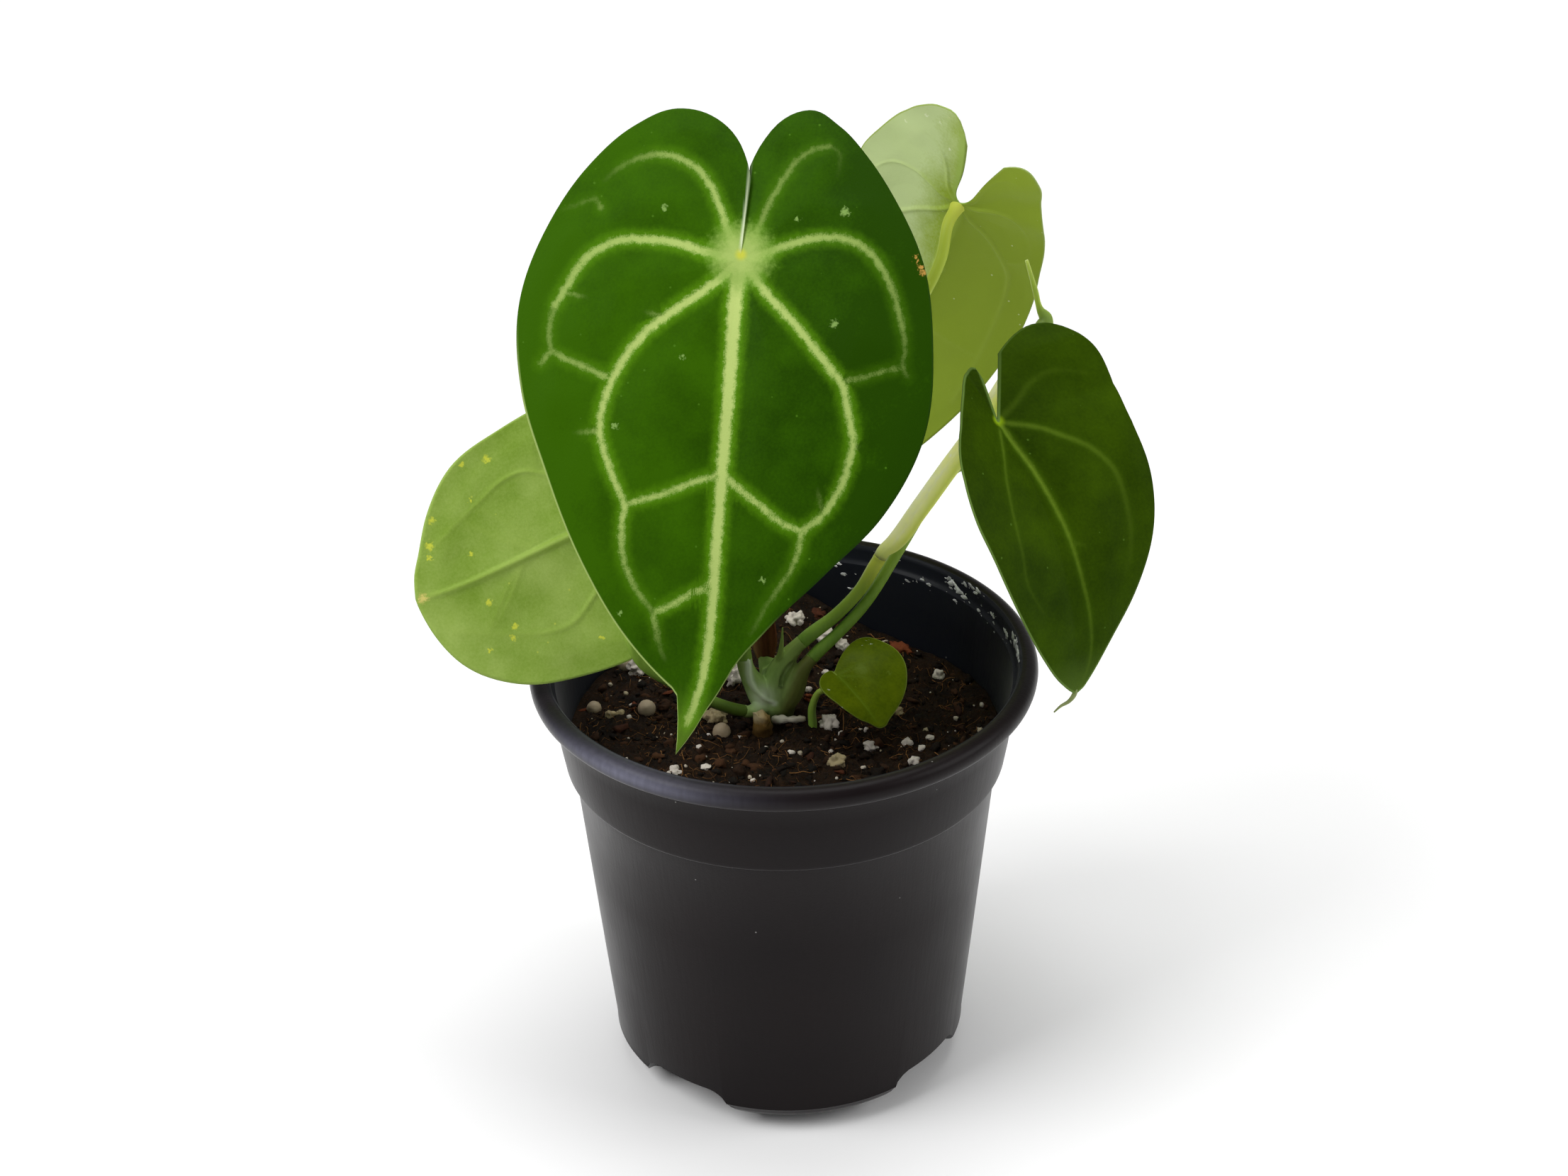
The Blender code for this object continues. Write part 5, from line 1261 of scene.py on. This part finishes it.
for body, paints, material_slot, node in (
        (*blade("front_blade", front, FRONT_VEINS, 120, 64, 1.4, [velvet, under_front]),
         "leaf_dark_velvet", "blade_front"),
        (*blade("back_blade", back, BACK_VEINS + fan(back), 90, 52, 0.8,
                [back_upper, back_under]), "leaf_olive_underside", "blade_back"),
        (*blade("left_blade", left_leaf, LEFT_VEINS + fan(left_leaf), 80, 44, 0.8,
                [left_upper, left_under], 0.35), "leaf_pale_underside", "blade_left"),
        (*blade("right_blade", right_leaf, RIGHT_VEINS, 90, 50, 0.8,
                [olive_upper, right_under], 0.35), "leaf_deep_olive", "blade_right"),
        (*blade("small_blade", small_leaf, SMALL_VEINS, 60, 26, 0.5, [young, young_under], 0.1),
         "leaf_young", "blade_small")):
    finished(body, paints, material_slot, node)


# Drip tip of the dark leaf: its midrib runs on past the blade as a dried, thread-thin point of
# pale tissue that twists away to one side
tip_u, tip_v = right_leaf.flat(np.array([0.0, 0.0]), np.array([0.965, 0.995]))
tip_points = right_leaf.lay(tip_u, tip_v, right_leaf.height(tip_u, tip_v, 1.0) - 0.55)
drip_root, drip_end = Vector(tip_points[0]), Vector(tip_points[1])
drip = tube("drip_tip", [
    (*drip_root, 0.35), (*drip_end, 0.55), (*(drip_end + Vector((-1.2, -0.1, -2.0))), 0.42),
    (*(drip_end + Vector((-2.9, -0.2, -3.1))), 0.3),
    (*(drip_end + Vector((-4.3, -0.2, -4.6))), 0.16)], 10, 5)
drip_paint = skin_paint("drip_tip_pale", srgb(104, 120, 60), srgb(150, 158, 108),
                        srgb(170, 170, 130), 200.0, 1500.0)
finished(drip, [drip_paint], "leaf_deep_olive")


# New leaf: a blade still rolled up on itself, waxy and pale yellow-green, with the outer edge
# of the sheet lying along it and a thread-thin green tip
NEW_PATH = tuple(roll_start[:2]) + (
    (24.3, 12.5, 119.8, 1.9), (29.6, 13.8, 127.0, 2.1), (35.4, 15.6, 135.0, 2.15),
    (41.6, 18.0, 143.1, 2.15), (47.3, 20.8, 151.4, 2.15), (52.8, 24.4, 158.8, 2.15),
    (56.8, 27.4, 163.6, 2.1), (57.1, 28.0, 165.4, 1.5), (56.1, 28.4, 167.0, 0.85),
    (54.9, 29.2, 171.4, 0.6), (53.0, 30.0, 178.0, 0.35))
ROLL_SIDES = 44
new_path = smooth_path(NEW_PATH, 8, 1.4)
steps_along = [math.dist(a[:3], b[:3]) for a, b in zip(new_path, new_path[1:])]
run = np.concatenate([[0.0], np.cumsum(steps_along)])
roll = bmesh.new()
bmesh.ops.create_grid(roll, x_segments=ROLL_SIDES, y_segments=len(new_path) - 1, size=1.0)
for vert in roll.verts:
    station = round(0.5 * (vert.co.y + 1.0) * (len(new_path) - 1))
    turn = 0.5 * (vert.co.x + 1.0)
    x, y, z, radius = new_path[station]
    before = Vector(new_path[max(station - 1, 0)][:3])
    after = Vector(new_path[min(station + 1, len(new_path) - 1)][:3])
    along = (after - before).normalized()
    sideways = along.cross(Vector((0, 1, 0))).normalized()
    toward = sideways.cross(along)
    angle = math.tau * turn * 0.98 - 1.1 + 0.012 * run[station]
    spread = radius * (0.92 + 0.16 * turn)
    vert.co = (Vector((x, y, z)) + spread * (math.cos(angle) * sideways
                                              + math.sin(angle) * toward)) * MM
roll.verts.ensure_lookup_table()
columns, rows = ROLL_SIDES + 1, len(new_path)
for row in range(rows - 1):
    start = row * columns
    roll.faces.new((roll.verts[start], roll.verts[start + columns],
                    roll.verts[start + columns + ROLL_SIDES], roll.verts[start + ROLL_SIDES]))
roll.faces.new([roll.verts[k] for k in range(columns)])
roll.faces.new([roll.verts[(rows - 1) * columns + k] for k in reversed(range(columns))])
bmesh.ops.recalc_face_normals(roll, faces=roll.faces)
rolled = as_object("rolled_leaf", roll)
at = points_of(rolled.data)
centre = np.array([spot[:3] for spot in new_path])
near = np.argmin(np.linalg.norm(at[:, None, :] - centre[None, :, :], axis=2), axis=1)
away = at - centre[near]
stored(rolled, "shaded_side", np.clip(0.5 + 0.55 * (away[:, 0] - 0.75 * away[:, 2]) / 1.2, 0, 1)
       * np.clip((at[:, 2] - 117.0) / 4.0, 0, 1))
stored(rolled, "thread", np.clip((at[:, 2] - 162.5) / 2.0, 0, 1))
stored(rolled, "start", np.clip((122.0 - at[:, 2]) / 5.0, 0, 1))
roll_paint = skin_paint(
    "leaf_new_yellow", srgb(246, 250, 160), srgb(253, 254, 196), srgb(253, 254, 218), 120.0, 900.0,
    300.0, 0.1, 0.3, (1.0, 1.0, 0.25),
    (("shaded_side", srgb(190, 200, 78), 0.9), ("start", srgb(176, 190, 82), 0.8),
     ("thread", srgb(92, 118, 40), 0.95)))
shader = roll_paint.node_tree.nodes["Principled BSDF"]
shader.inputs["Subsurface Weight"].default_value = 1.0
shader.inputs["Subsurface Scale"].default_value = 6.0 * MM
shader.inputs["Subsurface Radius"].default_value = (1.0, 1.0, 0.5)
finished(rolled, [roll_paint], "leaf_new_yellow", "new_leaf")


# Remains at the crown: a dry papery scale leaf behind it, the cut end of an old stalk and a
# bleached twig lying on the soil
stations = smooth_path([
    (-4.0, 9.3, 93.6, 2.1), (-4.3, 9.6, 98.0, 3.2), (-4.6, 10.0, 103.0, 3.0),
    (-4.9, 10.6, 108.0, 2.1), (-5.4, 11.2, 112.5, 0.5)], 10)
sheet = bmesh.new()
bmesh.ops.create_grid(sheet, x_segments=20, y_segments=len(stations) - 1, size=1.0)
for vert in sheet.verts:
    x, y, z, half = stations[round(0.5 * (vert.co.y + 1.0) * (len(stations) - 1))]
    a = 0.9 * vert.co.x
    crease = 0.12 * math.sin(9.0 * vert.co.x) + 0.2 * noise.noise(Vector((vert.co.x * 3, z / 3, 0)))
    vert.co = Vector((x + half * math.sin(a) / 0.9,
                      y + half * (math.cos(a) - 1) / 0.9 + crease, z)) * MM
brown_scale = as_object("brown_scale", sheet)
walls = brown_scale.modifiers.new("thickness", "SOLIDIFY")
walls.thickness = 0.45 * MM
walls.offset = 0.0
settled(brown_scale)
at = points_of(brown_scale.data)
stored(brown_scale, "paler", np.clip((-4.6 - at[:, 0]) / 2.0, 0, 1)
       * np.clip((101.0 - at[:, 2]) / 5.0, 0, 1))
scale_paint = skin_paint("scale_brown", srgb(70, 36, 22), srgb(134, 78, 50), srgb(60, 36, 22),
                         180.0, 1600.0, 500.0, 0.0, 0.6, (1.0, 1.0, 0.1),
                         (("paler", srgb(190, 150, 104), 0.7),))
finished(brown_scale, [scale_paint], "scale_brown", "cataphyll_brown")
stub = tube("cut_stub", [(STUB_X, STUB_Y, 73.0, 1.9), (STUB_X, STUB_Y, 80.0, 2.0),
                         (STUB_X, STUB_Y, 83.5, 1.95), (STUB_X - 0.1, STUB_Y, 85.1, 1.75)], 24, 8)
for vert in stub.data.vertices:
    x, y, z = vert.co / MM
    rough = 0.8 * noise.noise(Vector((x * 0.9, y * 0.9, z * 0.35)))
    rough += 0.5 * noise.noise(Vector((x * 2.2, y * 2.2, z * 0.8 + 5.0)))
    out = Vector((x - STUB_X, y - STUB_Y, 0.0)) * 0.5
    ragged = noise.noise(Vector((x * 0.8, y * 0.8, 9.0))) - 0.2 * (x - STUB_X)
    vert.co += (rough * out + Vector((0.0, 0.0, 1.8 * ragged * (z > 83.6)))) * MM
at = points_of(stub.data)
stored(stub, "cut", np.clip((at[:, 2] - 84.0) / 0.8, 0, 1)
       * np.clip(0.5 - 0.4 * (at[:, 0] - STUB_X), 0, 1))
# Darker towards the foot, where the stub meets the soil
stored(stub, "darker_foot", np.clip((83.6 - at[:, 2]) / 1.6, 0, 1))
stub_paint = skin_paint("stub_tan", srgb(80, 56, 22), srgb(156, 124, 64), srgb(70, 46, 26),
                        260.0, 1500.0, 500.0, 0.0, 0.6, (1.0, 1.0, 0.35),
                        (("cut", srgb(206, 190, 150), 0.75), ("darker_foot", srgb(52, 34, 18), 0.7)))
finished(stub, [stub_paint], "scale_brown", "old_stub")
twig_level = max(soil_height(x, 2.0) for x in (-3.0, -1.0, 1.0, 3.0, 5.0)) + 1.1
twig = tube("bare_twig", [(-2.6, 1.7, twig_level, 0.85), (-0.9, 1.45, twig_level + 0.1, 0.92),
                          (1.0, 1.5, twig_level, 0.84), (2.8, 1.7, twig_level + 0.06, 0.8),
                          (4.4, 1.7, twig_level, 0.62)], 16, 7)
for vert in twig.data.vertices:
    x, y, z = vert.co / MM
    chipped = noise.noise(Vector((x * 0.8, y * 1.6, z * 1.6))) * 0.5
    vert.co += Vector((0.0, y - 1.6, z - twig_level)) * chipped * MM
stored(twig, "stained", np.clip((points_of(twig.data)[:, 0] - 1.0) / 3.5, 0, 1))
twig_paint = skin_paint("twig_pale", srgb(168, 160, 144), srgb(222, 216, 202),
                        srgb(120, 108, 90), 300.0, 1500.0, 400.0, 0.0, 0.7, (0.3, 1.0, 1.0),
                        (("stained", srgb(120, 100, 72), 0.6),))
finished(twig, [twig_paint], "twig_pale", "stick")
